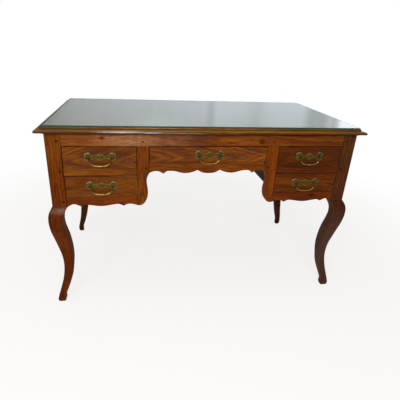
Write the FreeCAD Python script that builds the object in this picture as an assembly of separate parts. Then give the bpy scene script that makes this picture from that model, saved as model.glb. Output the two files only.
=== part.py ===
import FreeCAD, Part
import math
import os

# A country writing desk in pegged oak. Four cabriole legs carry two small drawer bays with a
# kneehole between them, a long drawer over the kneehole, and a moulded top under loose glass.
# Sizes are in millimetres. The origin is on the floor under the middle of the desk, with X to
# the right, Y to the back and Z up.

Vector = FreeCAD.Vector
sideways = Vector(1, 0, 0)
backwards = Vector(0, 1, 0)
upwards = Vector(0, 0, 1)
quarter_turn = math.pi / 2

# Frame of the desk
body_width = 1211.0
body_depth = 646.0
carcass_height = 749.0
post_size = 55.0
post_arris = 1.5
muntin_width = 46.7
centre_bay_width = 466.6
rail_thickness = 25.0

# Heights of the front, from the top down
top_rail_height = 45.5
upper_drawer_opening = 85.5
mid_rail_height = 30.0
lower_drawer_opening = 84.0
side_apron_height = 44.0
centre_drawer_opening = 62.5
centre_apron_height = 47.5
knee_drop = 2.0

# Top board and its moulding
board_thickness = 25.0
side_overhang = 29.5
end_overhang = 22.0
nose_undercut = 15.0
nose_height = 8.5
thumb_reach = 16.5
thumb_rise = 3.6
ledge_width = 1.5
fillet_height = 9.5

# Glass on the top
glass_thickness = 6.0
glass_side_inset = 24.0
glass_front_inset = 17.5
glass_back_inset = 57.0
glass_corner = 4.0
glass_arris = 0.8

# Panels at the sides, the back and the kneehole
panel_thickness = 18.0
panel_recess = 6.0
panel_tongue_length = 10.0
panel_tongue_thickness = 8.0
side_tongue_lift = 15.0
knee_panel_thickness = 16.0
knee_panel_lift = 17.0
knee_tongue_length = 4.0

# Mortise and tenon joints of the front
tenon_setback = 8.0
tenon_thickness = 8.0
post_tenon_length = 34.0
muntin_tenon_length = 21.0
muntin_top_tenon = 30.0
muntin_tenon_shoulder = 8.0
rail_tenon_shoulder = 4.0
rail_haunch = 8.0
side_tenon_lift = 10.0
centre_tenon_lift = 11.5
joint_gap = 0.2

# Pegs and dowels
peg_radius = 3.5
peg_length = 30.0
peg_gap = 0.05
post_peg_inset = 13.5
post_top_peg_drop = 27.0
post_mid_peg_drop = 13.0
post_low_peg_drop = 22.0
muntin_top_peg_rise = 16.5
centre_peg_inset = 12.7
centre_peg_drop = 24.0
apron_peg_inset = 10.5
apron_peg_drop = 25.4
dowel_radius = 4.0
dowel_depth = 25.0
dowel_rise = 14.0
rail_dowel_place = 150.0

# Runners, guides and kickers that carry the drawers
runner_inset = 13.0
runner_width = 30.0
runner_height = 12.0
runner_housing = 6.0
guide_height = 20.0
kicker_width = 20.0

# Drawers
drawer_side_gap = 0.8
drawer_top_gap = 1.5
drawer_floor_gap = 0.3
drawer_back_gap = 0.5
drawer_front_thickness = 20.0
drawer_front_arris = 0.8
drawer_side_thickness = 10.0
drawer_side_drop = 4.0
drawer_back_thickness = 10.0
drawer_back_drop = 6.0
drawer_back_inset = 8.0
drawer_back_housing = 4.0
drawer_bottom_thickness = 6.0
drawer_bottom_rebate = 5.0
tail_length = 14.0
tail_root = 12.0
tail_tip = 18.0
tail_place_shares = [0.34, 0.76]

# Drop handles
handle_length = 117.0
handle_height = 34.0
plate_thickness = 1.6
side_handle_rise = 1.4
centre_handle_rise = -3.4
post_spacing = 96.0
stem_radius = 2.5
collar_radius = 6.0
collar_height = 2.0
head_radius = 4.4
head_reach = 10.5
nut_size = 9.0
nut_thickness = 3.0
stem_spare = 1.0
stem_gap = 0.1
pin_radius = 1.5
pin_gap = 0.05
pin_spare = 1.0
bail_drop = 32.6
bail_elbow = 2.6
bail_root_gap = 1.2
bail_belly_radius = 3.0

# Clearance that lets a cut run past the face that it opens
overrun = 2.0

# Leg from foot to knee: height as a share of the knee's height; then, as shares of the post's
# size, how far the outer and the inner face stand outside the post's outer face to the side,
# how much less the leg swings to the front or the back, and the corner
front_leg_station_shares = [
    (0.000, 0.380, -0.090, 0.500, 0.120),
    (0.009, 0.425, -0.110, 0.490, 0.150),
    (0.026, 0.440, -0.160, 0.440, 0.150),
    (0.066, 0.370, -0.180, 0.345, 0.140),
    (0.109, 0.262, -0.286, 0.274, 0.125),
    (0.175, 0.085, -0.503, 0.150, 0.120),
    (0.262, -0.110, -0.755, 0.040, 0.120),
    (0.349, -0.222, -0.885, 0.000, 0.120),
    (0.437, -0.242, -0.965, -0.010, 0.120),
    (0.524, -0.172, -0.985, -0.010, 0.125),
    (0.611, -0.035, -0.940, -0.010, 0.130),
    (0.699, 0.115, -0.850, -0.005, 0.130),
    (0.786, 0.262, -0.715, 0.000, 0.130),
    (0.873, 0.330, -0.640, 0.000, 0.120),
    (0.939, 0.290, -0.730, 0.000, 0.100),
    (0.972, 0.195, -0.858, 0.000, 0.080),
    (1.000, 0.055, -1.000, 0.000, 0.050),
]

# The same for a back leg, which stands wider at its ankle
back_leg_station_shares = [
    (0.000, 0.385, 0.010, 0.390, 0.100),
    (0.009, 0.425, 0.010, 0.395, 0.120),
    (0.026, 0.470, 0.010, 0.410, 0.130),
    (0.066, 0.448, -0.010, 0.440, 0.130),
    (0.109, 0.355, -0.135, 0.470, 0.120),
    (0.175, 0.213, -0.335, 0.480, 0.120),
    (0.262, 0.065, -0.530, 0.430, 0.120),
    (0.349, -0.020, -0.680, 0.340, 0.120),
    (0.437, -0.085, -0.800, 0.240, 0.120),
    (0.524, -0.080, -0.880, 0.150, 0.125),
    (0.611, -0.010, -0.880, 0.080, 0.130),
    (0.699, 0.105, -0.820, 0.030, 0.130),
    (0.786, 0.215, -0.730, 0.000, 0.130),
    (0.873, 0.270, -0.680, 0.000, 0.120),
    (0.939, 0.240, -0.760, 0.000, 0.100),
    (0.972, 0.165, -0.870, 0.000, 0.080),
    (1.000, 0.055, -1.000, 0.000, 0.050),
]

# Lower edge of a side bay, from the post to the muntin: shares of the bay's width and of the
# apron's height. Each row is one smooth sweep, and a nib stands where two rows meet.
side_scallop_shares = [
    [(0.000, -0.040), (0.039, 0.114), (0.091, 0.250), (0.150, 0.136), (0.190, 0.023)],
    [(0.190, 0.023), (0.235, 0.148), (0.287, 0.148), (0.342, 0.102), (0.409, 0.034),
     (0.475, 0.000), (0.542, 0.023), (0.612, 0.091), (0.682, 0.159), (0.734, 0.159),
     (0.763, 0.091), (0.800, -0.023)],
    [(0.800, -0.023), (0.826, 0.080), (0.867, 0.159), (0.908, 0.159), (0.948, 0.102),
     (1.000, 0.000)],
]

# Lower edge over the kneehole, right half: shares of the half width and of the apron's height
centre_belly_shares = [(-0.191, 0.284), (-0.120, 0.085), (0.000, 0.000), (0.120, 0.085),
                       (0.191, 0.284)]
centre_scallop_shares = [
    [(0.191, 0.284), (0.244, 0.168), (0.309, 0.074), (0.386, 0.021), (0.441, 0.032),
     (0.514, 0.116), (0.592, 0.211), (0.664, 0.232), (0.707, 0.210), (0.736, 0.115),
     (0.769, -0.011)],
    [(0.769, -0.011), (0.806, 0.116), (0.857, 0.211), (0.917, 0.221), (0.969, 0.137),
     (1.000, 0.074)],
]

# Kneehole edge of a muntin, from the end of the centre apron to the side bay: shares of the
# muntin's width and of the drop between the two aprons
muntin_edge_shares = [
    (0.000, 1.000), (0.122, 0.912), (0.208, 0.825), (0.215, 0.693), (0.185, 0.584),
    (0.140, 0.482), (0.125, 0.400), (0.145, 0.314), (0.220, 0.197), (0.325, 0.124),
    (0.530, 0.035), (0.780, -0.003), (1.000, 0.000),
]

# Handle plate, right half: shares of half the plate's length and height. Each row is one
# smooth sweep from the upper point round the end lobe to the lower point.
plate_outline_shares = [
    [(0.000, 0.900), (0.070, 0.640), (0.150, 0.520), (0.230, 0.370), (0.330, 0.270),
     (0.460, 0.330), (0.580, 0.600)],
    [(0.580, 0.600), (0.640, 0.900), (0.740, 1.000), (0.850, 0.860)],
    [(0.850, 0.860), (0.950, 0.760), (1.000, 0.420), (0.955, 0.000), (1.000, -0.420),
     (0.950, -0.760), (0.850, -0.860)],
    [(0.850, -0.860), (0.740, -1.000), (0.640, -0.900), (0.580, -0.600)],
    [(0.580, -0.600), (0.460, -0.400), (0.330, -0.330), (0.230, -0.420), (0.150, -0.520),
     (0.070, -0.640), (0.000, -0.900)],
]

# Bail from the foot of its elbow to the middle: shares of the half span, of the drop below
# the elbow and of the way that the rod swells from the pin to the belly
bail_path_shares = [
    (1.000, 0.000, 0.020), (1.000, -0.170, 0.100), (0.972, -0.400, 0.220),
    (0.900, -0.610, 0.380), (0.780, -0.780, 0.540), (0.600, -0.910, 0.730),
    (0.320, -0.985, 0.920), (0.000, -1.000, 1.000),
]

# Midpoint of a quarter round, as shares of its two reaches
round_near_share = 1 - math.cos(math.pi / 4)
round_far_share = math.sin(math.pi / 4)

# Planes that the pieces share
front = -body_depth / 2
back = body_depth / 2
side = body_width / 2
post_bay_face = side - post_size
post_end_face = back - post_size
kneehole_half = centre_bay_width / 2
muntin_outer = kneehole_half + muntin_width
side_bay_width = post_bay_face - muntin_outer
rail_back = front + rail_thickness
muntin_back_face = back - rail_thickness
top_rail_bottom = carcass_height - top_rail_height
upper_floor = top_rail_bottom - upper_drawer_opening
lower_roof = upper_floor - mid_rail_height
lower_floor = lower_roof - lower_drawer_opening
side_low = lower_floor - side_apron_height
centre_floor = top_rail_bottom - centre_drawer_opening
centre_low = centre_floor - centre_apron_height
centre_end = centre_low + centre_scallop_shares[-1][-1][1] * centre_apron_height
knee_height = side_low - knee_drop
knee_panel_face = muntin_outer - knee_panel_thickness
knee_panel_low = lower_floor + knee_panel_lift
side_panel_face = side - panel_recess - panel_thickness
back_panel_face = back - panel_recess - panel_thickness
board_top = carcass_height + board_thickness


def box(x, y, z):
    """A box between two limits on each axis, given as (low, high) pairs."""
    size = [high - low for low, high in (x, y, z)]
    return Part.makeBox(size[0], size[1], size[2], Vector(x[0], y[0], z[0]))


def line(start, end):
    return Part.LineSegment(start, end).toShape()


def arc(start, middle, end):
    return Part.Arc(start, middle, end).toShape()


def smooth_curve(points):
    """One spline through the points."""
    spline = Part.BSplineCurve()
    spline.interpolate(points)
    return spline.toShape()


def scalloped_edge(runs, start, span, low, rise):
    """The lower edge of a board in the X-Z plane, one smooth curve for each row of shares."""
    edges = []
    for run in runs:
        edges.append(smooth_curve([Vector(start + u * span, 0, low + h * rise) for u, h in run]))
    return edges


def centre_scallop():
    """The rows of the whole lower edge over the kneehole, from its left end to its right end."""
    left = [[(-u, h) for u, h in reversed(run)] for run in reversed(centre_scallop_shares)]
    return left + [centre_belly_shares] + centre_scallop_shares


def sawn_board(lower_edge, top, face, thickness):
    """A board with the given lower edge and a straight top, from its front face backwards."""
    first = lower_edge[0].Vertexes[0].Point
    last = lower_edge[-1].Vertexes[-1].Point
    right_corner = Vector(last.x, 0, top)
    left_corner = Vector(first.x, 0, top)
    ends = [line(last, right_corner), line(right_corner, left_corner), line(left_corner, first)]
    board = Part.Face(Part.Wire(lower_edge + ends)).extrude(backwards * thickness)
    board.translate(Vector(0, face, 0))
    return board


def joined(pieces):
    """Several blocks of one board as a single solid."""
    return pieces[0].multiFuse(pieces[1:]).removeSplitter()


def cut_away(piece, tools):
    """The one solid that is left of a piece after its mortises, grooves and holes are cut."""
    return piece.cut(Part.makeCompound(tools)).Solids[0]


def mirrored(shape):
    return shape.mirror(Vector(0, 0, 0), sideways)


def tenon(shoulder, direction, length, low, high, gap=0.0):
    """A tenon along X that runs back into its rail. With a gap it is the mortise for it."""
    ends = sorted([shoulder - direction * overrun, shoulder + direction * (length + gap)])
    depth = (front + tenon_setback - gap, front + tenon_setback + tenon_thickness + gap)
    return box(ends, depth, (low - gap, high + gap))


def tongue_along_x(edge, direction, low, high, gap=0.0):
    """The tongue on one edge of a back panel. With a gap it is the groove for it."""
    ends = sorted([edge - direction * overrun, edge + direction * (panel_tongue_length + gap)])
    middle = back_panel_face + panel_thickness / 2
    half = panel_tongue_thickness / 2 + gap
    return box(ends, (middle - half, middle + half), (low - gap, high + gap))


def tongue_along_y(edge, direction, low, high, gap=0.0):
    """The tongue on one edge of a side panel. With a gap it is the groove for it."""
    ends = sorted([edge - direction * overrun, edge + direction * (panel_tongue_length + gap)])
    middle = side_panel_face + panel_thickness / 2
    half = panel_tongue_thickness / 2 + gap
    return box((middle - half, middle + half), ends, (low - gap, high + gap))


def knee_tongue(edge, direction, gap=0.0):
    """The tongue on one end of a kneehole panel. With a gap it is the groove for it."""
    ends = sorted([edge - direction * overrun, edge + direction * (knee_tongue_length + gap)])
    middle = muntin_outer - knee_panel_thickness / 2
    half = panel_tongue_thickness / 2 + gap
    return box((middle - half, middle + half), ends, (knee_panel_low - gap, top_rail_bottom + gap))


# Tenons of the right-hand half of the front, as (shoulder, direction, length, low, high)
top_rail_tenon = (post_bay_face, 1, post_tenon_length, top_rail_bottom + rail_tenon_shoulder,
                  carcass_height - rail_haunch)
mid_rail_levels = (lower_roof + rail_tenon_shoulder, upper_floor - rail_tenon_shoulder)
mid_rail_tenon = (post_bay_face, 1, post_tenon_length) + mid_rail_levels
mid_rail_inner_tenon = (muntin_outer, -1, muntin_tenon_length) + mid_rail_levels
apron_levels = (side_low + side_tenon_lift, lower_floor - rail_tenon_shoulder)
apron_tenon = (post_bay_face, 1, post_tenon_length) + apron_levels
apron_inner_tenon = (muntin_outer, -1, muntin_tenon_length) + apron_levels
centre_apron_tenon = (kneehole_half, 1, muntin_tenon_length, centre_low + centre_tenon_lift,
                      centre_floor - rail_tenon_shoulder)

# Levels of the long tongues
side_tongue = (side_low + side_tongue_lift, carcass_height)
centre_tongue = (centre_low + side_tongue_lift, carcass_height)

# Pegs of the right-hand half, as (x, z)
peg_places = [
    (post_bay_face + post_peg_inset, carcass_height - post_top_peg_drop),
    (post_bay_face + post_peg_inset, upper_floor - post_mid_peg_drop),
    (post_bay_face + post_peg_inset, lower_floor - post_low_peg_drop),
    (kneehole_half + muntin_width / 2, top_rail_bottom + muntin_top_peg_rise),
    (kneehole_half + centre_peg_inset, centre_floor - centre_peg_drop),
    (muntin_outer - apron_peg_inset, lower_floor - apron_peg_drop),
]

# Dowels that hold the top down, right-hand half, as (x, y)
dowel_places = [
    (side - post_size / 2, front + post_size / 2),
    (side - post_size / 2, back - post_size / 2),
    (rail_dowel_place, front + rail_thickness / 2),
]


def pegs(radius, length):
    """Horizontal pegs through the joints of the right-hand half, driven in from the front."""
    return [Part.makeCylinder(radius, length, Vector(x, front, z), backwards)
            for x, z in peg_places]


def dowels(radius, below, above):
    """Upright dowels between the frame and the top, right-hand half."""
    return [Part.makeCylinder(radius, below + above, Vector(x, y, carcass_height - below), upwards)
            for x, y in dowel_places]


peg_holes = pegs(peg_radius + peg_gap, peg_length + joint_gap)
for hole in pegs(peg_radius + peg_gap, overrun):
    hole.translate(backwards * -overrun)
    peg_holes.append(hole)
dowel_holes = dowels(dowel_radius + peg_gap, dowel_depth + joint_gap, dowel_rise + joint_gap)
right_holes = peg_holes + dowel_holes
all_holes = right_holes + [mirrored(hole) for hole in right_holes]


def runner_levels(opening_floor, height):
    return (opening_floor - height, opening_floor)


def runners(gap=0.0):
    """Runners of the right-hand side bay and the centre bay, housed in the frame at both ends.
    With a gap they are the housings."""
    depth = (rail_back - runner_housing - gap, back_panel_face + runner_housing + gap)
    near = muntin_outer + runner_inset
    far = post_bay_face - runner_inset
    centre = kneehole_half - runner_inset
    strips = []
    for level in (runner_levels(upper_floor, mid_rail_height),
                  runner_levels(lower_floor, runner_height)):
        low, high = level[0] - gap, level[1] + gap
        strips.append(box((near - gap, near + runner_width + gap), depth, (low, high)))
        strips.append(box((far - runner_width - gap, far + gap), depth, (low, high)))
    low, high = runner_levels(centre_floor, runner_height)
    strips.append(box((centre - runner_width - gap, centre + gap), depth, (low - gap, high + gap)))
    return strips


def guides_and_kickers():
    """Strips beside the drawers that keep them straight, and above them that keep them level."""
    strips = []
    for floor in (upper_floor, lower_floor):
        strips.append(box((post_bay_face, side_panel_face), (-post_end_face, post_end_face),
                          (floor, floor + guide_height)))
    strips.append(box((kneehole_half, knee_panel_face), (rail_back, muntin_back_face),
                      (centre_floor, centre_floor + guide_height)))
    kicker_levels = (top_rail_bottom, carcass_height)
    for near in (muntin_outer, post_bay_face - kicker_width, kneehole_half - kicker_width):
        strips.append(box((near, near + kicker_width), (rail_back, back_panel_face),
                          kicker_levels))
    return strips


housings = runners(joint_gap)
all_housings = housings + [mirrored(housing) for housing in housings]


def rounded_square(low, high, height, corner, shift=0.0):
    """A level square wire with rounded corners, from low to high in X, and shifted in Y."""
    middle = (low + high) / 2
    reach = (high - low) / 2 - corner
    arcs = []
    for turn in range(4):
        start = turn * quarter_turn
        signs = (1 if turn in (0, 3) else -1, 1 if turn in (0, 1) else -1)
        centre = Vector(middle + signs[0] * reach, middle + shift + signs[1] * reach, height)
        circle = Part.Circle(centre, upwards, corner)
        arcs.append(Part.ArcOfCircle(circle, start, start + quarter_turn))
    edges = []
    for here, after in zip(arcs, arcs[1:] + arcs[:1]):
        edges.append(here.toShape())
        edges.append(line(here.EndPoint, after.StartPoint))
    return Part.Wire(edges)


def leg_blank(stations):
    """A square post that swells into a knee and sweeps down to a small turned-out foot, with
    the outer corner of the post at the origin of X and Y."""
    sections = []
    for rise, outer, inner, less, corner in stations:
        sections.append(rounded_square(inner * post_size, outer * post_size, rise * knee_height,
                                       corner * post_size, -less * post_size))
    cabriole = Part.makeLoft(sections, True, False)
    post = Part.Face(rounded_square(-post_size, 0, knee_height, post_arris))
    return joined([cabriole, post.extrude(upwards * (carcass_height - knee_height))])


def legs():
    """Front and back leg of the right-hand side, with their mortises and grooves."""
    back_leg = leg_blank(back_leg_station_shares)
    back_leg.translate(Vector(side, back, 0))
    front_leg = leg_blank(front_leg_station_shares).mirror(Vector(0, 0, 0), backwards)
    front_leg.translate(Vector(side, front, 0))
    mortises = [tenon(*place, joint_gap) for place in (top_rail_tenon, mid_rail_tenon, apron_tenon)]
    front_groove = tongue_along_y(-post_end_face, -1, *side_tongue, joint_gap)
    back_grooves = [tongue_along_y(post_end_face, 1, *side_tongue, joint_gap),
                    tongue_along_x(post_bay_face, 1, *side_tongue, joint_gap)]
    return {
        "leg_front": cut_away(front_leg, mortises + [front_groove] + right_holes),
        "leg_back": cut_away(back_leg, back_grooves + dowel_holes),
    }


def front_top_rail():
    rail = box((-post_bay_face, post_bay_face), (front, rail_back),
               (top_rail_bottom, carcass_height))
    end = tenon(*top_rail_tenon)
    mortise = muntin_top_joint(joint_gap)
    return cut_away(joined([rail, end, mirrored(end)]),
                    all_holes + [mortise, mirrored(mortise)])


def muntin_top_joint(gap=0.0):
    """The upright tenon of a muntin in the top rail. With a gap it is the mortise for it."""
    across = (kneehole_half + muntin_tenon_shoulder - gap,
              muntin_outer - muntin_tenon_shoulder + gap)
    depth = (front + tenon_setback - gap, front + tenon_setback + tenon_thickness + gap)
    return box(across, depth, (top_rail_bottom - overrun, top_rail_bottom + muntin_top_tenon + gap))


def front_mid_rail():
    rail = box((muntin_outer, post_bay_face), (front, rail_back), (lower_roof, upper_floor))
    ends = [tenon(*mid_rail_tenon), tenon(*mid_rail_inner_tenon)]
    return cut_away(joined([rail] + ends), right_holes + housings)


def side_bay_edge():
    """The lower edge of a right-hand side bay, from the post to the muntin."""
    return scalloped_edge(side_scallop_shares, post_bay_face, -side_bay_width,
                          side_low, side_apron_height)


def centre_bay_edge():
    """The lower edge over the kneehole."""
    return scalloped_edge(centre_scallop(), 0, kneehole_half, centre_low, centre_apron_height)


def front_side_apron():
    apron = sawn_board(side_bay_edge(), lower_floor, front, rail_thickness)
    ends = [tenon(*apron_tenon), tenon(*apron_inner_tenon)]
    return cut_away(joined([apron] + ends), right_holes + housings)


def front_centre_apron():
    apron = sawn_board(centre_bay_edge(), centre_floor, front, rail_thickness)
    end = tenon(*centre_apron_tenon)
    return cut_away(joined([apron, end, mirrored(end)]), all_holes + all_housings)


def muntin_board(top, face):
    """An upright between two bays, with its shaped edge to the kneehole."""
    edge = smooth_curve([Vector(kneehole_half + u * muntin_width, 0,
                                side_low + h * (centre_end - side_low))
                         for u, h in muntin_edge_shares])
    return sawn_board([edge], top, face, rail_thickness)


def front_muntin():
    board = joined([muntin_board(top_rail_bottom, front), muntin_top_joint()])
    mortises = [tenon(*place, joint_gap)
                for place in (mid_rail_inner_tenon, apron_inner_tenon, centre_apron_tenon)]
    return cut_away(board, mortises + [knee_tongue(rail_back, -1, joint_gap)] + right_holes)


def back_muntin():
    grooves = [tongue_along_x(muntin_outer, -1, *side_tongue, joint_gap),
               tongue_along_x(kneehole_half, 1, *centre_tongue, joint_gap),
               knee_tongue(muntin_back_face, 1, joint_gap)]
    return cut_away(muntin_board(carcass_height, muntin_back_face), grooves)


def kneehole_panel():
    panel = box((knee_panel_face, muntin_outer), (rail_back, muntin_back_face),
                (knee_panel_low, carcass_height))
    return joined([panel, knee_tongue(rail_back, -1), knee_tongue(muntin_back_face, 1)])


def side_panel():
    """The end of the desk, with the sweep of the centre apron along its foot."""
    panel = sawn_board(scalloped_edge(centre_scallop(), 0, post_end_face, side_low,
                                      centre_apron_height),
                       carcass_height, 0, panel_thickness)
    panel.rotate(Vector(0, 0, 0), upwards, -90)
    panel.translate(sideways * side_panel_face)
    tongues = [tongue_along_y(-post_end_face, -1, *side_tongue),
               tongue_along_y(post_end_face, 1, *side_tongue)]
    return joined([panel] + tongues)


def back_side_panel():
    panel = sawn_board(side_bay_edge(), carcass_height, back_panel_face, panel_thickness)
    tongues = [tongue_along_x(muntin_outer, -1, *side_tongue),
               tongue_along_x(post_bay_face, 1, *side_tongue)]
    return cut_away(joined([panel] + tongues), housings)


def back_centre_panel():
    panel = sawn_board(centre_bay_edge(), carcass_height, back_panel_face, panel_thickness)
    tongue = tongue_along_x(kneehole_half, 1, *centre_tongue)
    return cut_away(joined([panel, tongue, mirrored(tongue)]), all_housings)


def moulded_end(end, direction):
    """Edges of the moulding at one end of the top's section, from the underside to the top."""
    def at(inset, height):
        return Vector(end - direction * inset, 0, height)

    thumb_foot = board_thickness - fillet_height - thumb_rise
    ledge = board_thickness - fillet_height
    reach = thumb_reach + ledge_width
    nose_middle = at(nose_undercut * round_near_share, nose_height * round_near_share)
    thumb_middle = at(thumb_reach * round_near_share, thumb_foot + thumb_rise * round_far_share)
    return [
        arc(at(nose_undercut, 0), nose_middle, at(0, nose_height)),
        line(at(0, nose_height), at(0, thumb_foot)),
        arc(at(0, thumb_foot), thumb_middle, at(thumb_reach, ledge)),
        line(at(thumb_reach, ledge), at(reach, ledge)),
        line(at(reach, ledge), at(reach, board_thickness)),
    ]


def moulded_section(low, high):
    """The section of the top across one of its directions."""
    left = moulded_end(low, -1)
    right = moulded_end(high, 1)
    foot = line(left[0].Vertexes[0].Point, right[0].Vertexes[0].Point)
    head = line(left[-1].Vertexes[-1].Point, right[-1].Vertexes[-1].Point)
    return Part.Face(Part.Wire(Part.__sortEdges__(left + right + [foot, head])))


def desktop():
    """The top, moulded all round: the overlap of one section drawn along Y and one along X."""
    half_length = side + side_overhang
    half_depth = back + end_overhang
    along_y = moulded_section(-half_length, half_length).extrude(backwards * 2 * half_depth)
    along_y.translate(backwards * -half_depth)
    along_x = moulded_section(-half_depth, half_depth).extrude(backwards * 2 * half_length)
    along_x.rotate(Vector(0, 0, 0), upwards, -90)
    along_x.translate(sideways * -half_length)
    board = along_y.common(along_x)
    board.translate(upwards * carcass_height)
    return cut_away(board, dowel_holes + [mirrored(hole) for hole in dowel_holes])


def glass_top():
    half_length = side + side_overhang - glass_side_inset
    pane = box((-half_length, half_length),
               (front - end_overhang + glass_front_inset, back + end_overhang - glass_back_inset),
               (board_top, board_top + glass_thickness))
    uprights = [edge for edge in pane.Edges if edge.tangentAt(edge.FirstParameter).z ** 2 > 0.5]
    pane = pane.makeFillet(glass_corner, uprights)
    rim = [edge for edge in pane.Edges
           if edge.BoundBox.ZMin > board_top + glass_thickness / 2]
    return pane.makeChamfer(glass_arris, rim)


def drawer_tails(centre_x, side_x, low, high, gap=0.0):
    """Dovetails on the front end of one drawer side. With a gap they are their sockets, open
    at the end of the drawer front."""
    shoulder = front + drawer_front_thickness
    tip = shoulder - tail_length - gap
    outward = 1 if side_x > centre_x else -1
    inner_face = side_x - outward * (drawer_side_thickness + gap)
    open_by = overrun if gap else 0.0
    across = outward * (drawer_side_thickness + gap + open_by)
    tails = []
    for share in tail_place_shares:
        middle = low + share * (high - low)
        root = tail_root / 2 + gap
        wide = tail_tip / 2 + gap
        corners = [Vector(inner_face, shoulder + overrun, middle - root),
                   Vector(inner_face, shoulder, middle - root),
                   Vector(inner_face, tip, middle - wide),
                   Vector(inner_face, tip, middle + wide),
                   Vector(inner_face, shoulder, middle + root),
                   Vector(inner_face, shoulder + overrun, middle + root)]
        outline = Part.makePolygon(corners + corners[:1])
        tails.append(Part.Face(outline).extrude(sideways * across))
    return tails


def drawer(centre_x, width, floor, opening):
    """The front, sides, back and bottom of one drawer, in the frame's opening."""
    half = width / 2 - drawer_side_gap
    inside = half - drawer_side_thickness
    low = floor + drawer_floor_gap
    high = floor + opening - drawer_top_gap
    side_high = high - drawer_side_drop
    shoulder = front + drawer_front_thickness
    end = back_panel_face - drawer_back_gap
    bottom_high = low + drawer_bottom_thickness
    bottom_half = inside + drawer_bottom_rebate
    back_depth = (end - drawer_back_inset - drawer_back_thickness, end - drawer_back_inset)
    back_levels = (bottom_high, side_high - drawer_back_drop)
    back_half = inside + drawer_back_housing

    front_board = box((centre_x - half, centre_x + half), (front, shoulder), (low, high))
    face_edges = [edge for edge in front_board.Edges if edge.BoundBox.YMax < front + overrun]
    front_board = front_board.makeFillet(drawer_front_arris, face_edges)
    rebate = box((centre_x - bottom_half, centre_x + bottom_half),
                 (shoulder - drawer_bottom_rebate, end + overrun),
                 (low - overrun, bottom_high))
    dado = box((centre_x - back_half - joint_gap, centre_x + back_half + joint_gap),
               (back_depth[0] - joint_gap, back_depth[1] + joint_gap),
               (back_levels[0] - overrun, back_levels[1] + joint_gap))
    sockets = []
    sides = []
    for outward in (-1, 1):
        side_x = centre_x + outward * half
        across = sorted([side_x, side_x - outward * drawer_side_thickness])
        board = box(across, (shoulder, end), (low, side_high))
        tails = drawer_tails(centre_x, side_x, low, side_high)
        sides.append(cut_away(joined([board] + tails), [rebate, dado]))
        sockets += drawer_tails(centre_x, side_x, low, side_high, joint_gap)
    bottom = box((centre_x - bottom_half + joint_gap, centre_x + bottom_half - joint_gap),
                 (shoulder - drawer_bottom_rebate + joint_gap, end), (low, bottom_high))
    back_board = box((centre_x - back_half, centre_x + back_half), back_depth, back_levels)
    return {
        "front": front_board.cut(Part.makeCompound(sockets + [rebate])),
        "sides": Part.makeCompound(sides),
        "back": back_board,
        "bottom": bottom,
    }


def plate_blank(centre_x, centre_z):
    """The flat plate of a handle, with a point above and below and a lobe at each end."""
    half_length = handle_length / 2
    half_height = handle_height / 2
    edges = []
    for mirror in (1, -1):
        for run in plate_outline_shares:
            edges.append(smooth_curve([Vector(centre_x + mirror * u * half_length, front,
                                              centre_z + h * half_height) for u, h in run]))
    outline = Part.Wire(Part.__sortEdges__(edges))
    return Part.Face(outline).extrude(backwards * -plate_thickness)


def handle_axis(centre_x, centre_z, radius, start, end):
    """The two rods of a handle's post centres, as cylinders between two depths."""
    return [Part.makeCylinder(radius, end - start,
                              Vector(centre_x + place * post_spacing / 2, start, centre_z),
                              backwards)
            for place in (-1, 1)]


def handle_posts(centre_x, centre_z):
    """Two posts, each a round head, a collar on the plate and a stem through the drawer front,
    and the square nut inside that holds it."""
    nut_face = front + drawer_front_thickness
    stem_end = nut_face + nut_thickness + stem_spare
    head_y = front - head_reach
    plate_face = front - plate_thickness
    solids = []
    stems = handle_axis(centre_x, centre_z, stem_radius, head_y, stem_end)
    collars = handle_axis(centre_x, centre_z, collar_radius, plate_face - collar_height, plate_face)
    bores = handle_axis(centre_x, centre_z, stem_radius + pin_gap, nut_face - overrun,
                        stem_end + overrun)
    for stem, collar, bore, place in zip(stems, collars, bores, (-1, 1)):
        head_x = centre_x + place * post_spacing / 2
        head = Part.makeSphere(head_radius, Vector(head_x, head_y, centre_z))
        eye = Part.makeCylinder(pin_radius + pin_gap, 2 * (head_radius + overrun),
                                Vector(head_x - head_radius - overrun, head_y, centre_z), sideways)
        solids.append(cut_away(joined([stem, collar, head]), [eye]))
        nut = box((head_x - nut_size / 2, head_x + nut_size / 2),
                  (nut_face, nut_face + nut_thickness),
                  (centre_z - nut_size / 2, centre_z + nut_size / 2))
        solids.append(cut_away(nut, [bore]))
    return Part.makeCompound(solids)


def bail_stations():
    """Places along the hanging grip from its right pin to its left pin, as (x, z, radius): a
    quarter-round elbow, then the sweep down to the belly, then the same again mirrored."""
    root = post_spacing / 2 - head_radius - bail_root_gap
    half_span = root - bail_elbow
    swell = bail_belly_radius - pin_radius
    places = [(root, 0.0, pin_radius),
              (root - bail_elbow * round_far_share, -bail_elbow * round_near_share, pin_radius)]
    places += [(u * half_span, h * (bail_drop - bail_elbow) - bail_elbow, pin_radius + share * swell)
               for u, h, share in bail_path_shares]
    return places + [(-x, z, radius) for x, z, radius in reversed(places[:-1])]


def handle_bail(centre_x, centre_z):
    """The hanging grip: a rod that swells to its middle, with a pin through each post's head."""
    places = bail_stations()
    points = [Vector(x, 0, z) for x, z, radius in places]
    inward = sideways * -bail_elbow
    before = [points[0] - inward] + points[:-1]
    after = points[1:] + [points[-1] + inward]
    directions = [end - start for start, end in zip(before, after)]
    directions[0] = directions[-1] = inward
    sections = [Part.Wire(Part.Circle(point, direction, place[2]).toShape())
                for point, direction, place in zip(points, directions, places)]
    grip = Part.makeLoft(sections, True, False)
    pin_length = 2 * head_radius + bail_root_gap + pin_spare
    pins = [Part.makeCylinder(pin_radius, pin_length, end, sideways * place)
            for end, place in ((points[0], 1), (points[-1], -1))]
    bail = joined([grip] + pins)
    bail.translate(Vector(centre_x, front - head_reach, centre_z))
    return bail


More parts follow.
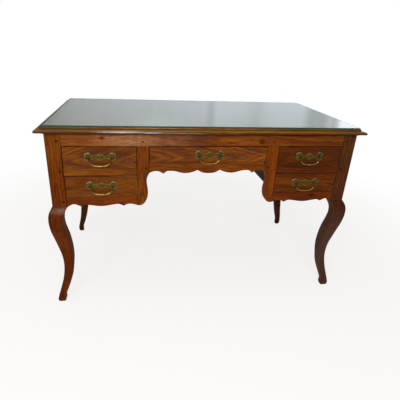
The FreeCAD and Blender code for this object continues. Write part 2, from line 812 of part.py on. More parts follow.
def handle(centre_x, centre_z):
    """Plate, posts and bail of one drop handle."""
    holes = handle_axis(centre_x, centre_z, stem_radius + stem_gap,
                        front - plate_thickness - overrun,
                        front + drawer_front_thickness + overrun)
    return {
        "plate": cut_away(plate_blank(centre_x, centre_z), holes),
        "posts": handle_posts(centre_x, centre_z),
        "bail": handle_bail(centre_x, centre_z),
    }, holes


# Drawers by name: middle of the opening, its width, floor and height, and the handle's rise
# above the middle of the opening
side_bay_middle = (muntin_outer + post_bay_face) / 2
drawer_places = {
    "upper_left": (-side_bay_middle, side_bay_width, upper_floor, upper_drawer_opening,
                   side_handle_rise),
    "lower_left": (-side_bay_middle, side_bay_width, lower_floor, lower_drawer_opening,
                   side_handle_rise),
    "centre": (0.0, centre_bay_width, centre_floor, centre_drawer_opening, centre_handle_rise),
    "upper_right": (side_bay_middle, side_bay_width, upper_floor, upper_drawer_opening,
                    side_handle_rise),
    "lower_right": (side_bay_middle, side_bay_width, lower_floor, lower_drawer_opening,
                    side_handle_rise),
}


def drawer_nodes():
    """All pieces of the five drawers and their handles, by node name."""
    nodes = {}
    for name, (middle, width, floor, opening, rise) in drawer_places.items():
        pieces = drawer(middle, width, floor, opening)
        fittings, holes = handle(middle, floor + opening / 2 + rise)
        pieces["front"] = cut_away(pieces["front"], holes)
        for piece, shape in pieces.items():
            nodes["drawer_" + name + "_" + piece] = shape
        for piece, shape in fittings.items():
            nodes["handle_" + name + "_" + piece] = shape
    return nodes


def frame_nodes():
    """All fixed pieces, by node name. What has a left and a right is made once and mirrored."""
    paired = legs()
    paired["front_mid_rail"] = front_mid_rail()
    paired["front_apron"] = front_side_apron()
    paired["front_muntin"] = front_muntin()
    paired["side_panel"] = side_panel()
    paired["kneehole_panel"] = kneehole_panel()
    paired["back_muntin"] = back_muntin()
    paired["back_panel"] = back_side_panel()
    nodes = {
        "desktop": desktop(),
        "glass_top": glass_top(),
        "front_top_rail": front_top_rail(),
        "front_apron_centre": front_centre_apron(),
        "back_panel_centre": back_centre_panel(),
    }
    for name, shape in paired.items():
        nodes[name + "_right"] = shape
        nodes[name + "_left"] = mirrored(shape)
    strips = runners() + guides_and_kickers()
    nodes["drawer_runners"] = Part.makeCompound(strips + [mirrored(strip) for strip in strips])
    pins = pegs(peg_radius, peg_length) + dowels(dowel_radius, dowel_depth, dowel_rise)
    nodes["joint_pegs"] = Part.makeCompound(pins + [mirrored(pin) for pin in pins])
    return nodes


def main():
    os.makedirs("parts", exist_ok=True)
    nodes = frame_nodes()
    nodes.update(drawer_nodes())
    for name, shape in nodes.items():
        shape.exportStep("parts/" + name + ".step")
    print(len(nodes), "nodes written")


main()
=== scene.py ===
"""Looks of a country writing desk: waxed oak, aged brass drop handles and a loose glass top.

Everything is in metres in the frame's own axes: X to the right, Y to the back, Z up from the
floor. Boards, legs, top, glass and brasses are worked out with numpy as surfaces, which stand for
the frame's plain solids.
"""
import math
from functools import partial

import bmesh
import bpy
import numpy as np
from mathutils import Matrix, Vector


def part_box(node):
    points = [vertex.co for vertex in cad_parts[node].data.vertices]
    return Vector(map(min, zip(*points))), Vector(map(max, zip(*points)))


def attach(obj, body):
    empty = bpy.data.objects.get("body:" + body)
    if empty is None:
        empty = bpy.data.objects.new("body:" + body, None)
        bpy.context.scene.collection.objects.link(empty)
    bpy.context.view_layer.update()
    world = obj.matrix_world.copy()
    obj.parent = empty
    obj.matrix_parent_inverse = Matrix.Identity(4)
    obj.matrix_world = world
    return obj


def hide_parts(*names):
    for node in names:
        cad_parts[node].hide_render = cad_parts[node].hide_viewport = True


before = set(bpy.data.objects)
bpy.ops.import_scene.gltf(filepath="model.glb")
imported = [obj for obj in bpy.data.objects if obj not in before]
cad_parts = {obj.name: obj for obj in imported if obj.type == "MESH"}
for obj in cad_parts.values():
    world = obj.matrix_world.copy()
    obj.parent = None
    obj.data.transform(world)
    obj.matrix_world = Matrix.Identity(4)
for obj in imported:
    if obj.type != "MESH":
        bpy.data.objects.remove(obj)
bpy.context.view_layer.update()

MM = 0.001
SIDES = {"left": -1, "right": 1}
DRAWERS = ("upper_left", "lower_left", "centre", "upper_right", "lower_right")

# Sizes that the frame's boxes give
top_low, top_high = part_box("desktop")
glass_low, glass_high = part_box("glass_top")
_, apron_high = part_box("front_apron_right")
_, centre_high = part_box("front_apron_centre")

# Frame of the desk
POST = 55 * MM
SIDE = 605.5 * MM
BACK = 323 * MM
FRONT = -BACK
CARCASS = 749 * MM
POST_FACE = SIDE - POST
RAIL_FOOT = 703.5 * MM
SIDE_LOW = 460 * MM
SIDE_APRON = 44 * MM
KNEE = 458 * MM
CENTRE_LOW = 593.5 * MM
CENTRE_APRON = 47.5 * MM
CENTRE_HALF = 233.3 * MM
MUNTIN = 46.7 * MM
BAY_FACE = CENTRE_HALF + MUNTIN
MID_RAIL = (588 * MM, 618 * MM)
RAIL_THICK = 25 * MM
PANEL_THICK = 18 * MM
PANEL_RECESS = 6 * MM
ARRIS = 1.1 * MM
SOFT_EDGE = 2.2 * MM
LEG_SOFTNESS = 0.45
EDGE_STEP = 4 * MM
JOINT_LINE = 0.5 * MM
LOWER_BAY = (504.5 * MM, 587.5 * MM)
LATH = 4 * MM
LATH_PROUD = 0.65 * MM

# Top board, from its edge inwards and from its underside up
BED_INSET = 21 * MM
BED_THICK = 3.8 * MM
NOSE_UNDERCUT = 15 * MM
NOSE_HEIGHT = 8.5 * MM
THUMB_FOOT = 11.9 * MM
THUMB_REACH = 16.5 * MM
THUMB_RISE = 5.4 * MM
LEDGE = 1.5 * MM
TOP_ARRIS = 1.4 * MM
TOP_CORNER = 2.5 * MM

# Glass
GLASS_CORNER = 4 * MM
GLASS_ARRIS = 0.8 * MM
GLASS_BEVEL = 3.5 * MM
GLASS_LIFT = 0.15 * MM

# Drop handles
HANDLE_LENGTH = 117 * MM
HANDLE_HEIGHT = 34 * MM
PLATE_THICK = 1.6 * MM
POST_SPACING = 96 * MM
HEAD_RADIUS = 4.4 * MM
HEAD_REACH = 10.5 * MM
PIN_RADIUS = 1.5 * MM
BAIL_DROP = 32.6 * MM
BAIL_ELBOW = 2.6 * MM
BAIL_ROOT_GAP = 1.2 * MM
BAIL_BELLY = 3.0 * MM
BAIL_STUB = 1.0 * MM
BAIL_STEP = 1.6 * MM
PIN_CHAMFER = 0.3 * MM
PLATE_STEP = 1.2 * MM
SINE_45, VERSINE_45 = 0.707, 0.293

# Pegs: (x, z) on the right half, the first ones on the post; and two nails
PEG_RADIUS = 3.6 * MM
PEG_PROUD = 0.35 * MM
PEG_LENGTH = 12 * MM
PEG_PLACES = np.array([(564.0, 722.0), (564.0, 605.0), (564.0, 482.0), (256.65, 720.0),
                       (246.0, 617.0), (269.5, 478.6)]) * MM
POST_PEGS = 3
NAIL_RADIUS = 2.2 * MM
NAIL_PLACES = np.array([(-405.0, 734.0), (528.0, 724.0)]) * MM

# Shares are in thousandths of a size
THOUSAND = 1000
# Front and back leg, from foot to knee: height as a share of the knee's height; then, as shares
# of the post's size, how far the outer and inner face stand outside the post to the side, how
# much less the leg swings to the front or the back, and the corner
FRONT_LEG_SHARES = [
    (0, 380, -90, 500, 120), (9, 425, -110, 490, 150), (26, 440, -160, 440, 150),
    (66, 370, -180, 345, 140), (109, 262, -286, 274, 125), (175, 85, -503, 150, 130),
    (262, -110, -755, 40, 140), (349, -222, -885, 0, 150), (437, -242, -965, -10, 160),
    (524, -172, -985, -10, 170), (611, -35, -940, -10, 180), (699, 115, -850, -5, 180),
    (786, 262, -715, 0, 180), (873, 330, -640, 0, 160), (939, 290, -730, 0, 130),
    (972, 195, -858, 0, 80), (1000, 55, -1000, 0, 50)]
BACK_LEG_SHARES = [
    (0, 385, 10, 390, 100), (9, 425, 10, 395, 120), (26, 470, 10, 410, 130),
    (66, 448, -10, 440, 130), (109, 355, -135, 470, 120), (175, 213, -335, 480, 130),
    (262, 65, -530, 430, 140), (349, -20, -680, 340, 150), (437, -85, -800, 240, 160),
    (524, -80, -880, 150, 170), (611, -10, -880, 80, 180), (699, 105, -820, 30, 180),
    (786, 215, -730, 0, 180), (873, 270, -680, 0, 160), (939, 240, -760, 0, 130),
    (972, 165, -870, 0, 80), (1000, 55, -1000, 0, 50)]
# Rings of a leg: from and to, as shares of the knee's height, and how many
LEG_RINGS = [(0.0, 0.03, 7), (0.04, 0.93, 64), (0.94, 1.0, 13)]

# Lower edge of a side bay from the post to the muntin, and of the right half over the kneehole:
# shares of the width and of the apron's height, one row for each smooth sweep
SIDE_SCALLOP_SHARES = [
    [(0, -40), (39, 114), (91, 250), (150, 136), (190, 23)],
    [(190, 23), (235, 148), (287, 148), (342, 102), (409, 34), (475, 0), (542, 23), (612, 91),
     (682, 159), (734, 159), (763, 91), (800, -23)],
    [(800, -23), (826, 80), (867, 159), (908, 159), (948, 102), (1000, 0)]]
CENTRE_BELLY_SHARES = [(-191, 284), (-120, 85), (0, 0), (120, 85), (191, 284)]
CENTRE_SCALLOP_SHARES = [
    [(191, 284), (244, 168), (309, 74), (386, 21), (441, 32), (514, 116), (592, 211), (664, 232),
     (707, 210), (736, 115), (769, -11)],
    [(769, -11), (806, 116), (857, 211), (917, 221), (969, 137), (1000, 74)]]
MUNTIN_EDGE_SHARES = [
    (0, 1000), (122, 912), (208, 825), (215, 693), (185, 584), (140, 482), (125, 400), (145, 314),
    (220, 197), (325, 124), (530, 35), (780, -3), (1000, 0)]

# Handle plate, right half, as shares of half its length and height; and the bail from the foot of
# its elbow to the middle, as shares of the half span, of the drop and of the rod's swelling
PLATE_SHARES = [
    [(0, 900), (70, 640), (150, 520), (230, 370), (330, 270), (460, 330), (580, 600)],
    [(580, 600), (640, 900), (740, 1000), (850, 860)],
    [(850, 860), (950, 720), (1000, 380), (990, 0), (1000, -380), (950, -720), (850, -860)],
    [(850, -860), (740, -1000), (640, -900), (580, -600)],
    [(580, -600), (460, -440), (330, -400), (230, -450), (150, -570), (70, -720), (0, -1000)]]
BAIL_SHARES = [
    (1000, 0, 20), (1000, -170, 100), (972, -400, 220), (900, -610, 380), (780, -780, 540),
    (600, -910, 730), (320, -985, 920), (0, -1000, 1000)]
# Relief of the plate from its outline inwards: each ring's shrinkage towards the middle line, and
# its height as a share of the thickness
PLATE_RELIEF = [(0, 0), (0, 0.4), (0.04, 0.72), (0.1, 0.92), (0.18, 1.0), (0.25, 1.0),
                (0.32, 0.97), (0.45, 0.95), (0.65, 0.95), (0.85, 0.95)]
# Rings of a peg: shares of its radius, and of the height that it is proud
PEG_DOME = [(1.0, 0.0), (0.93, 0.6), (0.6, 0.95), (0.25, 1.0)]


def spline(x, knots, values):
    """Natural cubic spline through the values at the knots, worked out at x: the second slopes
    solve h0 m0 + 2 (h0 + h1) m1 + h1 m2 = 6 (change of slope), and are zero at both ends."""
    knots = np.asarray(knots, float)
    values = np.asarray(values, float)
    step = np.diff(knots)
    slope = np.diff(values, axis=0) / step[:, None]
    count = len(knots)
    system = np.eye(count)
    inner = np.arange(1, count - 1)
    system[inner, inner - 1] = step[:-1]
    system[inner, inner] = 2 * (step[:-1] + step[1:])
    system[inner, inner + 1] = step[1:]
    bends = np.zeros_like(values)
    bends[1:-1] = 6 * np.diff(slope, axis=0)
    bends = np.linalg.solve(system, bends)
    cell = np.clip(np.searchsorted(knots, x) - 1, 0, count - 2)
    along = (x - knots[cell])[:, None]
    width = step[cell][:, None]
    first = slope[cell] - width * (2 * bends[cell] + bends[cell + 1]) / 6
    return (values[cell] + along * first + along ** 2 * bends[cell] / 2
            + along ** 3 * (bends[cell + 1] - bends[cell]) / (6 * width))


def sweep_through(points, spacing):
    """A smooth line through the points, sampled evenly by chord length."""
    points = np.asarray(points, float)
    chords = np.linalg.norm(np.diff(points, axis=0), axis=1)
    knots = np.concatenate([[0.0], np.cumsum(chords)])
    count = max(3, int(round(knots[-1] / spacing)) + 1)
    return spline(np.linspace(0, knots[-1], count), knots, points)


def smooth_outline(runs, origin, size, spacing=EDGE_STEP):
    """Rows of shares as one line of points: origin + share * size, with each row smooth."""
    pieces = [sweep_through(np.asarray(origin) + np.array(run) / THOUSAND * size, spacing)
              for run in runs]
    return np.concatenate([pieces[0]] + [piece[1:] for piece in pieces[1:]])


def mirrored_runs(runs):
    return [[(-u, h) for u, h in reversed(run)] for run in reversed(runs)]


def rounded_path(corner_steps, side_steps):
    """Two unit paths round a square, counter-clockwise. A rounded square is then
    middle + reach * straight + corner * swell, where only one of the two changes at a time."""
    straight, swell = [], []
    for turn in range(4):
        angle = (turn + np.linspace(0, 1, corner_steps)) * math.pi / 2
        toward = (turn + 0.5) * math.pi / 2
        here = np.sign([math.cos(toward), math.sin(toward)])
        after = np.array([-here[1], here[0]])
        round_part = np.stack([np.cos(angle), np.sin(angle)], axis=-1)
        share = np.linspace(0, 1, side_steps + 2)[1:-1, None]
        straight += [np.repeat(here[None], corner_steps, 0), here + share * (after - here)]
        swell += [round_part, np.repeat(round_part[-1:], side_steps, 0)]
    return np.concatenate(straight), np.concatenate(swell)


def at_depths(flat, depth):
    """Flat rings with a third number, which is each ring's own depth."""
    deep = np.broadcast_to(np.asarray(depth)[:, None, None], flat.shape[:2] + (1,))
    return np.concatenate([flat, deep], axis=-1)


def skin(rings):
    """Quads between neighbouring closed rings, a rows x columns x 3 array, and the two ends."""
    rows, columns = rings.shape[:2]
    index = np.arange(rows * columns).reshape(rows, columns)
    wrapped = np.concatenate([index, index[:, :1]], axis=1)
    quads = np.stack([wrapped[:-1, :-1], wrapped[:-1, 1:], wrapped[1:, 1:], wrapped[1:, :-1]],
                     axis=-1).reshape(-1, 4).tolist()
    quads += [index[0, ::-1].tolist(), index[-1].tolist()]
    return rings.reshape(-1, 3), quads


def put_in_scene(name, data):
    """A new object in the scene."""
    thing = bpy.data.objects.new(name, data)
    bpy.context.scene.collection.objects.link(thing)
    return thing


def make_piece(node, shells, material, slot="oak", body="desk", crease=35.0, rim=None):
    """One finished piece that stands for a node: closed shells in one mesh, smooth where faces
    turn by less than the crease, with flat end faces. A rim material takes the faces round the
    edge, which have four sides."""
    offsets = np.cumsum([0] + [len(points) for points, _ in shells])
    faces = [[i + offset for i in face]
             for (_, quads), offset in zip(shells, offsets) for face in quads]
    mesh = bpy.data.meshes.new(slot + "_" + node)
    mesh.from_pydata(np.concatenate([points for points, _ in shells]).tolist(), [], faces)
    work = bmesh.new()
    work.from_mesh(mesh)
    bmesh.ops.remove_doubles(work, verts=work.verts, dist=1e-6)
    bmesh.ops.recalc_face_normals(work, faces=work.faces)
    work.to_mesh(mesh)
    work.free()
    mesh.shade_smooth()
    mesh.set_sharp_from_angle(angle=math.radians(crease))
    corners = np.empty(len(mesh.polygons), np.int32)
    mesh.polygons.foreach_get("loop_total", corners)
    mesh.polygons.foreach_set("use_smooth", corners <= 4)
    mesh.materials.append(material)
    if rim:
        mesh.materials.append(rim)
        mesh.polygons.foreach_set("material_index", (corners <= 4).astype(np.int32))
    piece = put_in_scene(mesh.name, mesh)
    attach(piece, body)
    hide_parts(node)
    return piece


def inward(outline):
    """At each point of a counter-clockwise outline, the step that moves both its edges in by
    one: (n1 + n2) / (1 + n1 . n2) for the left-hand normals of the two edges."""
    edges = np.roll(outline, -1, 0) - outline
    edges /= np.linalg.norm(edges, axis=1)[:, None]
    after = np.stack([-edges[:, 1], edges[:, 0]], axis=-1)
    before = np.roll(after, 1, 0)
    lean = np.clip(1 + (after * before).sum(1), 0.5, None)
    return (after + before) / lean[:, None]


def board(outline, plane, origin, thickness, edge):
    """A flat board: rings of its outline, moved in by r (1 - sin a) at a depth of r (1 - cos a)
    for the rounded arris of each face. The plane gives the directions of u, v and depth."""
    area = (outline * np.roll(outline[:, ::-1], -1, 0) * [1, -1]).sum()
    if area < 0:
        outline = outline[::-1]
    angle = np.linspace(0, math.pi / 2, 4)
    inset = edge * (1 - np.sin(angle))
    depth = edge * (1 - np.cos(angle))
    inset = np.concatenate([inset, inset[::-1]])
    depth = np.concatenate([depth, thickness - depth[::-1]])
    local = at_depths(outline + inset[:, None, None] * inward(outline), depth)
    return skin(local @ np.asarray(plane, float) + np.asarray(origin, float))


FRONT_PLANE = ((1, 0, 0), (0, 0, 1), (0, 1, 0))
BACK_PLANE = ((1, 0, 0), (0, 0, 1), (0, -1, 0))


def rectangle(low, high):
    return np.array([(low[0], low[1]), (high[0], low[1]), (high[0], high[1]), (low[0], high[1])])


def under_top(edge, top):
    """An outline from its lower edge, closed by a straight top."""
    return np.concatenate([edge, [(edge[-1, 0], top), (edge[0, 0], top)]])


def side_bay_edge(side):
    """The lower edge of a side bay, from the post to the muntin."""
    return smooth_outline(SIDE_SCALLOP_SHARES, (side * POST_FACE, SIDE_LOW),
                          (-side * (POST_FACE - BAY_FACE), SIDE_APRON))


def centre_bay_edge(half, low):
    """The lower edge over the kneehole, from left to right."""
    runs = mirrored_runs(CENTRE_SCALLOP_SHARES) + [CENTRE_BELLY_SHARES] + CENTRE_SCALLOP_SHARES
    return smooth_outline(runs, (0, low), (half, CENTRE_APRON))


def muntin_outline(side, top):
    """An upright between two bays, with its shaped edge to the kneehole."""
    corner = CENTRE_SCALLOP_SHARES[-1][-1][1] / THOUSAND
    drop = CENTRE_LOW + corner * CENTRE_APRON - SIDE_LOW
    edge = smooth_outline([MUNTIN_EDGE_SHARES], (side * CENTRE_HALF, SIDE_LOW),
                          (side * MUNTIN, drop))
    return under_top(edge, top)


def draught_lath(side):
    """A thin lath let into a muntin, which closes the slit beside the lower drawer."""
    low, high = LOWER_BAY
    left, right = sorted([side * (BAY_FACE - LATH), side * (BAY_FACE + LATH_PROUD)])
    return board(rectangle((left, low), (right, high)), FRONT_PLANE, (0, FRONT + LATH, 0),
                 RAIL_THICK - 2 * LATH, 0.0)


def leg(shares, side, depth_side):
    """A square post over a cabriole leg: rounded squares from the station tables, with each
    column of the table a smooth curve of height, then the straight post above the knee."""
    table = np.array(shares) / THOUSAND
    rise = np.concatenate([np.linspace(*run) for run in LEG_RINGS])
    outer, inner, less, corner = (spline(rise, table[:, 0], table[:, 1:]) * POST).T
    corner = SOFT_EDGE + (corner - SOFT_EDGE) * LEG_SOFTNESS
    straight, swell = rounded_path(7, 5)
    middle = (outer + inner) / 2
    reach = (outer - inner) / 2 - corner
    middle, reach, corner = (row[:, None, None] for row in (middle, reach, corner))
    ring = middle + reach * straight + corner * swell
    ring[:, :, 1] -= less[:, None]
    post = -POST / 2 + (POST / 2 - SOFT_EDGE) * straight + SOFT_EDGE * swell
    ring = np.concatenate([ring, np.repeat(post[None], 2, 0)])
    height = np.concatenate([rise * KNEE, [KNEE + JOINT_LINE, CARCASS]])
    return skin(at_depths(ring + [SIDE, BACK], height) * [side, depth_side, 1])


def ring_stack(insets, heights, low, high, corner):
    """Rounded rectangles at the given heights, each moved in from the box's sides."""
    low, high = np.array(low[:2]), np.array(high[:2])
    middle, half = (low + high) / 2, (high - low) / 2
    straight, swell = rounded_path(6, 1)
    rings = (middle + (half - corner - np.asarray(insets)[:, None, None]) * straight
             + corner * swell)
    return skin(at_depths(rings, heights))


def top_board():
    """The top: a thin bed on the frame, a quarter oval under the nose, a small flat, an oval
    thumb, a ledge and an upright fillet with a worn arris, carried round the rectangle."""
    turn = np.linspace(0, math.pi / 2, 9)
    sine, cosine = np.sin(turn), np.cos(turn)
    fillet = THUMB_REACH + LEDGE
    thick = top_high[2] - CARCASS
    inset = [[BED_INSET, BED_INSET], NOSE_UNDERCUT * (1 - sine), THUMB_REACH * (1 - cosine),
             [fillet], fillet + TOP_ARRIS * (1 - cosine)]
    rise = [[0, BED_THICK], BED_THICK + (NOSE_HEIGHT - BED_THICK) * (1 - cosine),
            THUMB_FOOT + THUMB_RISE * sine, [THUMB_FOOT + THUMB_RISE],
            thick - TOP_ARRIS * (1 - sine)]
    return ring_stack(np.concatenate(inset), CARCASS + np.concatenate(rise), top_low, top_high,
                      TOP_CORNER)


def glass_pane():
    """A polished sheet with a ground arris below and a shallow bevel above, all round."""
    inset = [GLASS_ARRIS / 2, 0, 0, GLASS_ARRIS / 2, GLASS_BEVEL]
    low, high = glass_low[2] + GLASS_LIFT, glass_high[2]
    height = [low, low + GLASS_ARRIS / 2, high - GLASS_ARRIS, high - GLASS_ARRIS / 3, high]
    return ring_stack(inset, height, glass_low, glass_high, GLASS_CORNER)


def handle_centre(name):
    """The middle of a handle: the plate's box gives x and z."""
    low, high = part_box("handle_" + name + "_plate")
    return (low[0] + high[0]) / 2, (low[2] + high[2]) / 2


def plate(name):
    """A cast plate: its outline shrinks towards a short line along its middle while its face
    rises as a flat bevel, then dips in a shallow hollow inside a raised rim."""
    x, z = handle_centre(name)
    size = (HANDLE_LENGTH / 2, HANDLE_HEIGHT / 2)
    right = smooth_outline(PLATE_SHARES, (0, 0), size, PLATE_STEP)
    outline = np.concatenate([right, right[-2:0:-1] * [-1, 1]])[::-1]
    spine = np.stack([np.clip(outline[:, 0], -POST_SPACING / 2, POST_SPACING / 2),
                      np.zeros(len(outline))], axis=-1)
    shrink, rise = np.array(PLATE_RELIEF).T
    rings = at_depths(outline + shrink[:, None, None] * (spine - outline) + [x, z],
                      FRONT - rise * PLATE_THICK)
    return skin(rings[..., [0, 2, 1]])


def bail(name):
    """The hanging grip: round sections along a smooth line from pin to pin, square to the line,
    whose radius swells from the pins to the belly."""
    x, z = handle_centre(name)
    root = POST_SPACING / 2 - HEAD_RADIUS - BAIL_ROOT_GAP
    half = root - BAIL_ELBOW
    pin = root + 2 * HEAD_RADIUS + BAIL_ROOT_GAP
    shares = np.array(BAIL_SHARES) / THOUSAND
    hanging = np.stack([shares[:, 0] * half, shares[:, 1] * (BAIL_DROP - BAIL_ELBOW) - BAIL_ELBOW,
                        PIN_RADIUS + shares[:, 2] * (BAIL_BELLY - PIN_RADIUS)], axis=-1)
    start = np.array([(root + BAIL_STUB, 0, PIN_RADIUS), (root, 0, PIN_RADIUS),
                      (root - SINE_45 * BAIL_ELBOW, -VERSINE_45 * BAIL_ELBOW, PIN_RADIUS)])
    half_line = np.concatenate([start, hanging])
    line = np.concatenate([half_line, half_line[-2::-1] * [-1, 1, 1]])
    line = sweep_through(line, BAIL_STEP)
    ends = np.array([(pin, 0, 0.7 * PIN_RADIUS), (pin - PIN_CHAMFER, 0, PIN_RADIUS)])
    line = np.concatenate([ends, line, ends[::-1] * [-1, 1, 1]])
    along = np.gradient(line[:, :2], axis=0)
    along /= np.linalg.norm(along, axis=1)[:, None]
    angle = np.linspace(0, 2 * math.pi, 17)[:-1]
    across = np.stack([-along[:, 1], along[:, 0]], axis=-1)
    radius = line[:, 2][:, None]
    ring_x = line[:, :1] + radius * np.cos(angle) * across[:, :1] + x
    ring_z = line[:, 1:2] + radius * np.cos(angle) * across[:, 1:] + z
    ring_y = FRONT - HEAD_REACH + radius * np.sin(angle)
    return skin(np.stack([ring_x, ring_y, ring_z], axis=-1))


def peg(x, z, radius, turn):
    """A driven peg with a slightly domed end, proud of the face. It is roughly round: the radius
    waves four and seven times a turn, by a twentieth and by a thirtieth."""
    angle = np.linspace(0, 2 * math.pi, 17)[:-1] + turn
    rough = radius * (1 + 0.05 * np.cos(4 * angle + 3 * turn) + 0.03 * np.sin(7 * angle))
    share, proud = np.array(PEG_DOME[:1] + PEG_DOME).T
    depth = FRONT - proud * PEG_PROUD
    depth[0] = FRONT + PEG_LENGTH
    across = share[:, None] * rough
    rings = np.stack([x + across * np.cos(angle), np.broadcast_to(depth[:, None], across.shape),
                      z + across * np.sin(angle)], axis=-1)
    return skin(rings)


def linear(code):
    """An sRGB hex colour as the linear values that a node takes."""
    values = [int(code[i:i + 2], 16) / 255 for i in (1, 3, 5)]
    return [v / 12.92 if v <= 0.04045 else ((v + 0.055) / 1.055) ** 2.4 for v in values] + [1.0]


# Sockets that a list of inputs goes to, where they aren't the first ones of a node
SOCKETS = {"Mix": (0, 6, 7), "TexNoise": ("Vector", "Scale", "Detail", "Roughness")}


def add(tree, kind, inputs=(), out=0, stops=(), **settings):
    """Adds one node with its settings, sets or links its inputs, in their order or by name, gives
    a colour ramp its stops, and returns one output. The kind's second word is its operation, or a
    mix's data. A MapRange takes a value, the limits that it comes from and those it goes to."""
    kind, *word = kind.split()
    node = tree.nodes.new("ShaderNode" + kind)
    if word:
        setattr(node, "data_type" if kind == "Mix" else "operation", word[0])
    for key, value in settings.items():
        setattr(node, key, value)
    if not isinstance(inputs, dict):
        inputs = dict(zip(SOCKETS.get(kind, range(len(inputs))), inputs))
    for socket, value in inputs.items():
        if isinstance(value, bpy.types.NodeSocket):
            tree.links.new(value, node.inputs[socket])
        else:
            node.inputs[socket].default_value = value
    for place, _ in stops[1:-1]:
        node.color_ramp.elements.new(place)
    for element, (place, colour) in zip(node.color_ramp.elements if stops else (), stops):
        element.position = place
        element.color = linear(colour) if isinstance(colour, str) else colour
    return node.outputs[out] if node.outputs else None


def new_material(name):
    """An empty material, and the function that adds a node to it."""
    material = bpy.data.materials.new(name)
    material.use_nodes = True
    material.node_tree.nodes.clear()
    return material, partial(add, material.node_tree)


# Oak, in metres: the figure is drawn coarser than real rings, so that it shows from a step away
RING_SPACING = 9 * MM
ARCH_SPACING = 13 * MM
STREAK_WIDTH = 4.0 * MM
STREAK_ROUGHNESS = 0.62
PORE_WIDTH = 2.0 * MM
CLOUDS_PER_METRE = 24.0
BENDS_PER_METRE = 16.0
BEND = 30 * MM
CLOUD_STRETCH = 0.22
PORE_STRETCH = 0.07
TURN_TO_GRAIN = {"x": (0, 0, 0), "y": (0, 0, -math.pi / 2), "z": (0, math.pi / 2, 0)}
NAME_STEP = 0.31
YEAR_CHANGE = 0.9
# Weight of the years and of the streaks in the tone, and where dark, plain and pale wood lie in it
YEAR_WEIGHT, STREAK_WEIGHT = 0.55, 0.75
DARK_AT, PLAIN_AT, PALE_AT = 0.3, 0.5, 0.72
# Limits of a pattern, and the limits that it turns into
EARLY_WOOD = (0.0, 0.5)
MORE_PORES, FEWER_PORES = 0.11, -0.02
PORE_LIMITS = (0.54, 0.64, 0.0, 0.75)
ARCH_LIMITS = (0.06, 0.26, 1.0, 0.0)
BROKEN_LIMITS = (0.82, 0.98)
FADED = (1.0, 0.25)
FLECK_LIMITS = (0.35, 0.65, 0.6, 1.25)
PORE_IN_OVERLAY = 0.6
ROUGH_LIMITS = (0.3, 0.7)
# Dark edges, which are dirt along the joints and painted shadow under the top's nose; knots;
# and overlays of painted highlights, painted shade and plain marks
EDGE_DARK_START = 1.2 * MM
EDGE_DARK_REACH = 3.2 * MM
EDGE_DARK_WAVE = 2.4 * MM
EDGE_DARK_PATCH = 14 * MM
MARK_PATCH = 11 * MM
MARK_DEPTH = 0.25
KNOT_CORE, KNOT_STRENGTH, KNOT_WAVE = 0.35, 0.85, 1.8
OVERLAY_CORE, OVERLAY_WAVE = 0.1, 0.8

# Shares of a stain's linear colour in pores, dirt and painted shade, dark and pale wood; and dust
# in open pores
PORE_TONE = (0.44, 0.52, 1.3)
DIRT_AND_SHADE_TONE = (0.22, 0.22, 0.3)
DARK_TONE = (0.6, 0.55, 0.55)
PALE_TONE = (1.45, 1.62, 1.35)
DUST = "#42302a"
HALF = (0.5, 0.5, 0.5)


def toned(colour, tone):
    """A linear colour times one share for each channel."""
    return [c * t for c, t in zip(colour, tone)] + [1.0]


# Dark edges: dirt along the joints, and painted shadow where a board's top lies under the top's
# nose
def edge_dirt_and_shade(node, here, left, low, right, high, strength):
    """The strength at the sides of a box seen from the front, and zero a few millimetres inside:
    half the box less the distance from its middle gives the way to the nearest side."""
    middle = ((left + right) / 2, 0, (low + high) / 2)
    half = ((right - left) / 2, 0, (high - low) / 2)
    away = node("VectorMath SUBTRACT", (here, middle))
    away = node("VectorMath ABSOLUTE", (away,))
    inside = node("VectorMath SUBTRACT", (half, away))
    nearest = node("Math MINIMUM", [node("SeparateXYZ", (inside,), axis) for axis in "XZ"])
    wave = node("TexNoise", (here, 1 / EDGE_DARK_PATCH, 2.0))
    nearest = node("Math MULTIPLY_ADD", (wave, EDGE_DARK_WAVE, nearest))
    return node("MapRange", (nearest, EDGE_DARK_START, EDGE_DARK_START + EDGE_DARK_REACH, strength, 0.0),
                interpolation_type="SMOOTHSTEP")


def oval_marks(node, here, ovals, core, strength, ragged):
    """The strongest of several ovals, each (x, z, half width, half height) in millimetres: full
    strength inside the core's share of its size, zero outside, with an edge that a noise makes
    ragged."""
    cloud = node("TexNoise", (here, 1 / MARK_PATCH, 3.0), "Color")
    wave = node("VectorMath SUBTRACT", (cloud, HALF))
    mark = None
    for x, z, wide, tall in np.array(ovals) * MM:
        offset = node("VectorMath SUBTRACT", (here, (x, FRONT, z)))
        offset = node("VectorMath MULTIPLY", (offset, (1 / wide, 1 / MARK_DEPTH, 1 / tall)))
        offset = node("VectorMath MULTIPLY_ADD", (wave, (ragged, 0, ragged), offset))
        away = node("VectorMath LENGTH", (offset,), "Value")
        one = node("MapRange", (away, core, 1.0, strength, 0.0))
        mark = one if mark is None else node("Math MAXIMUM", (mark, one))
    return mark


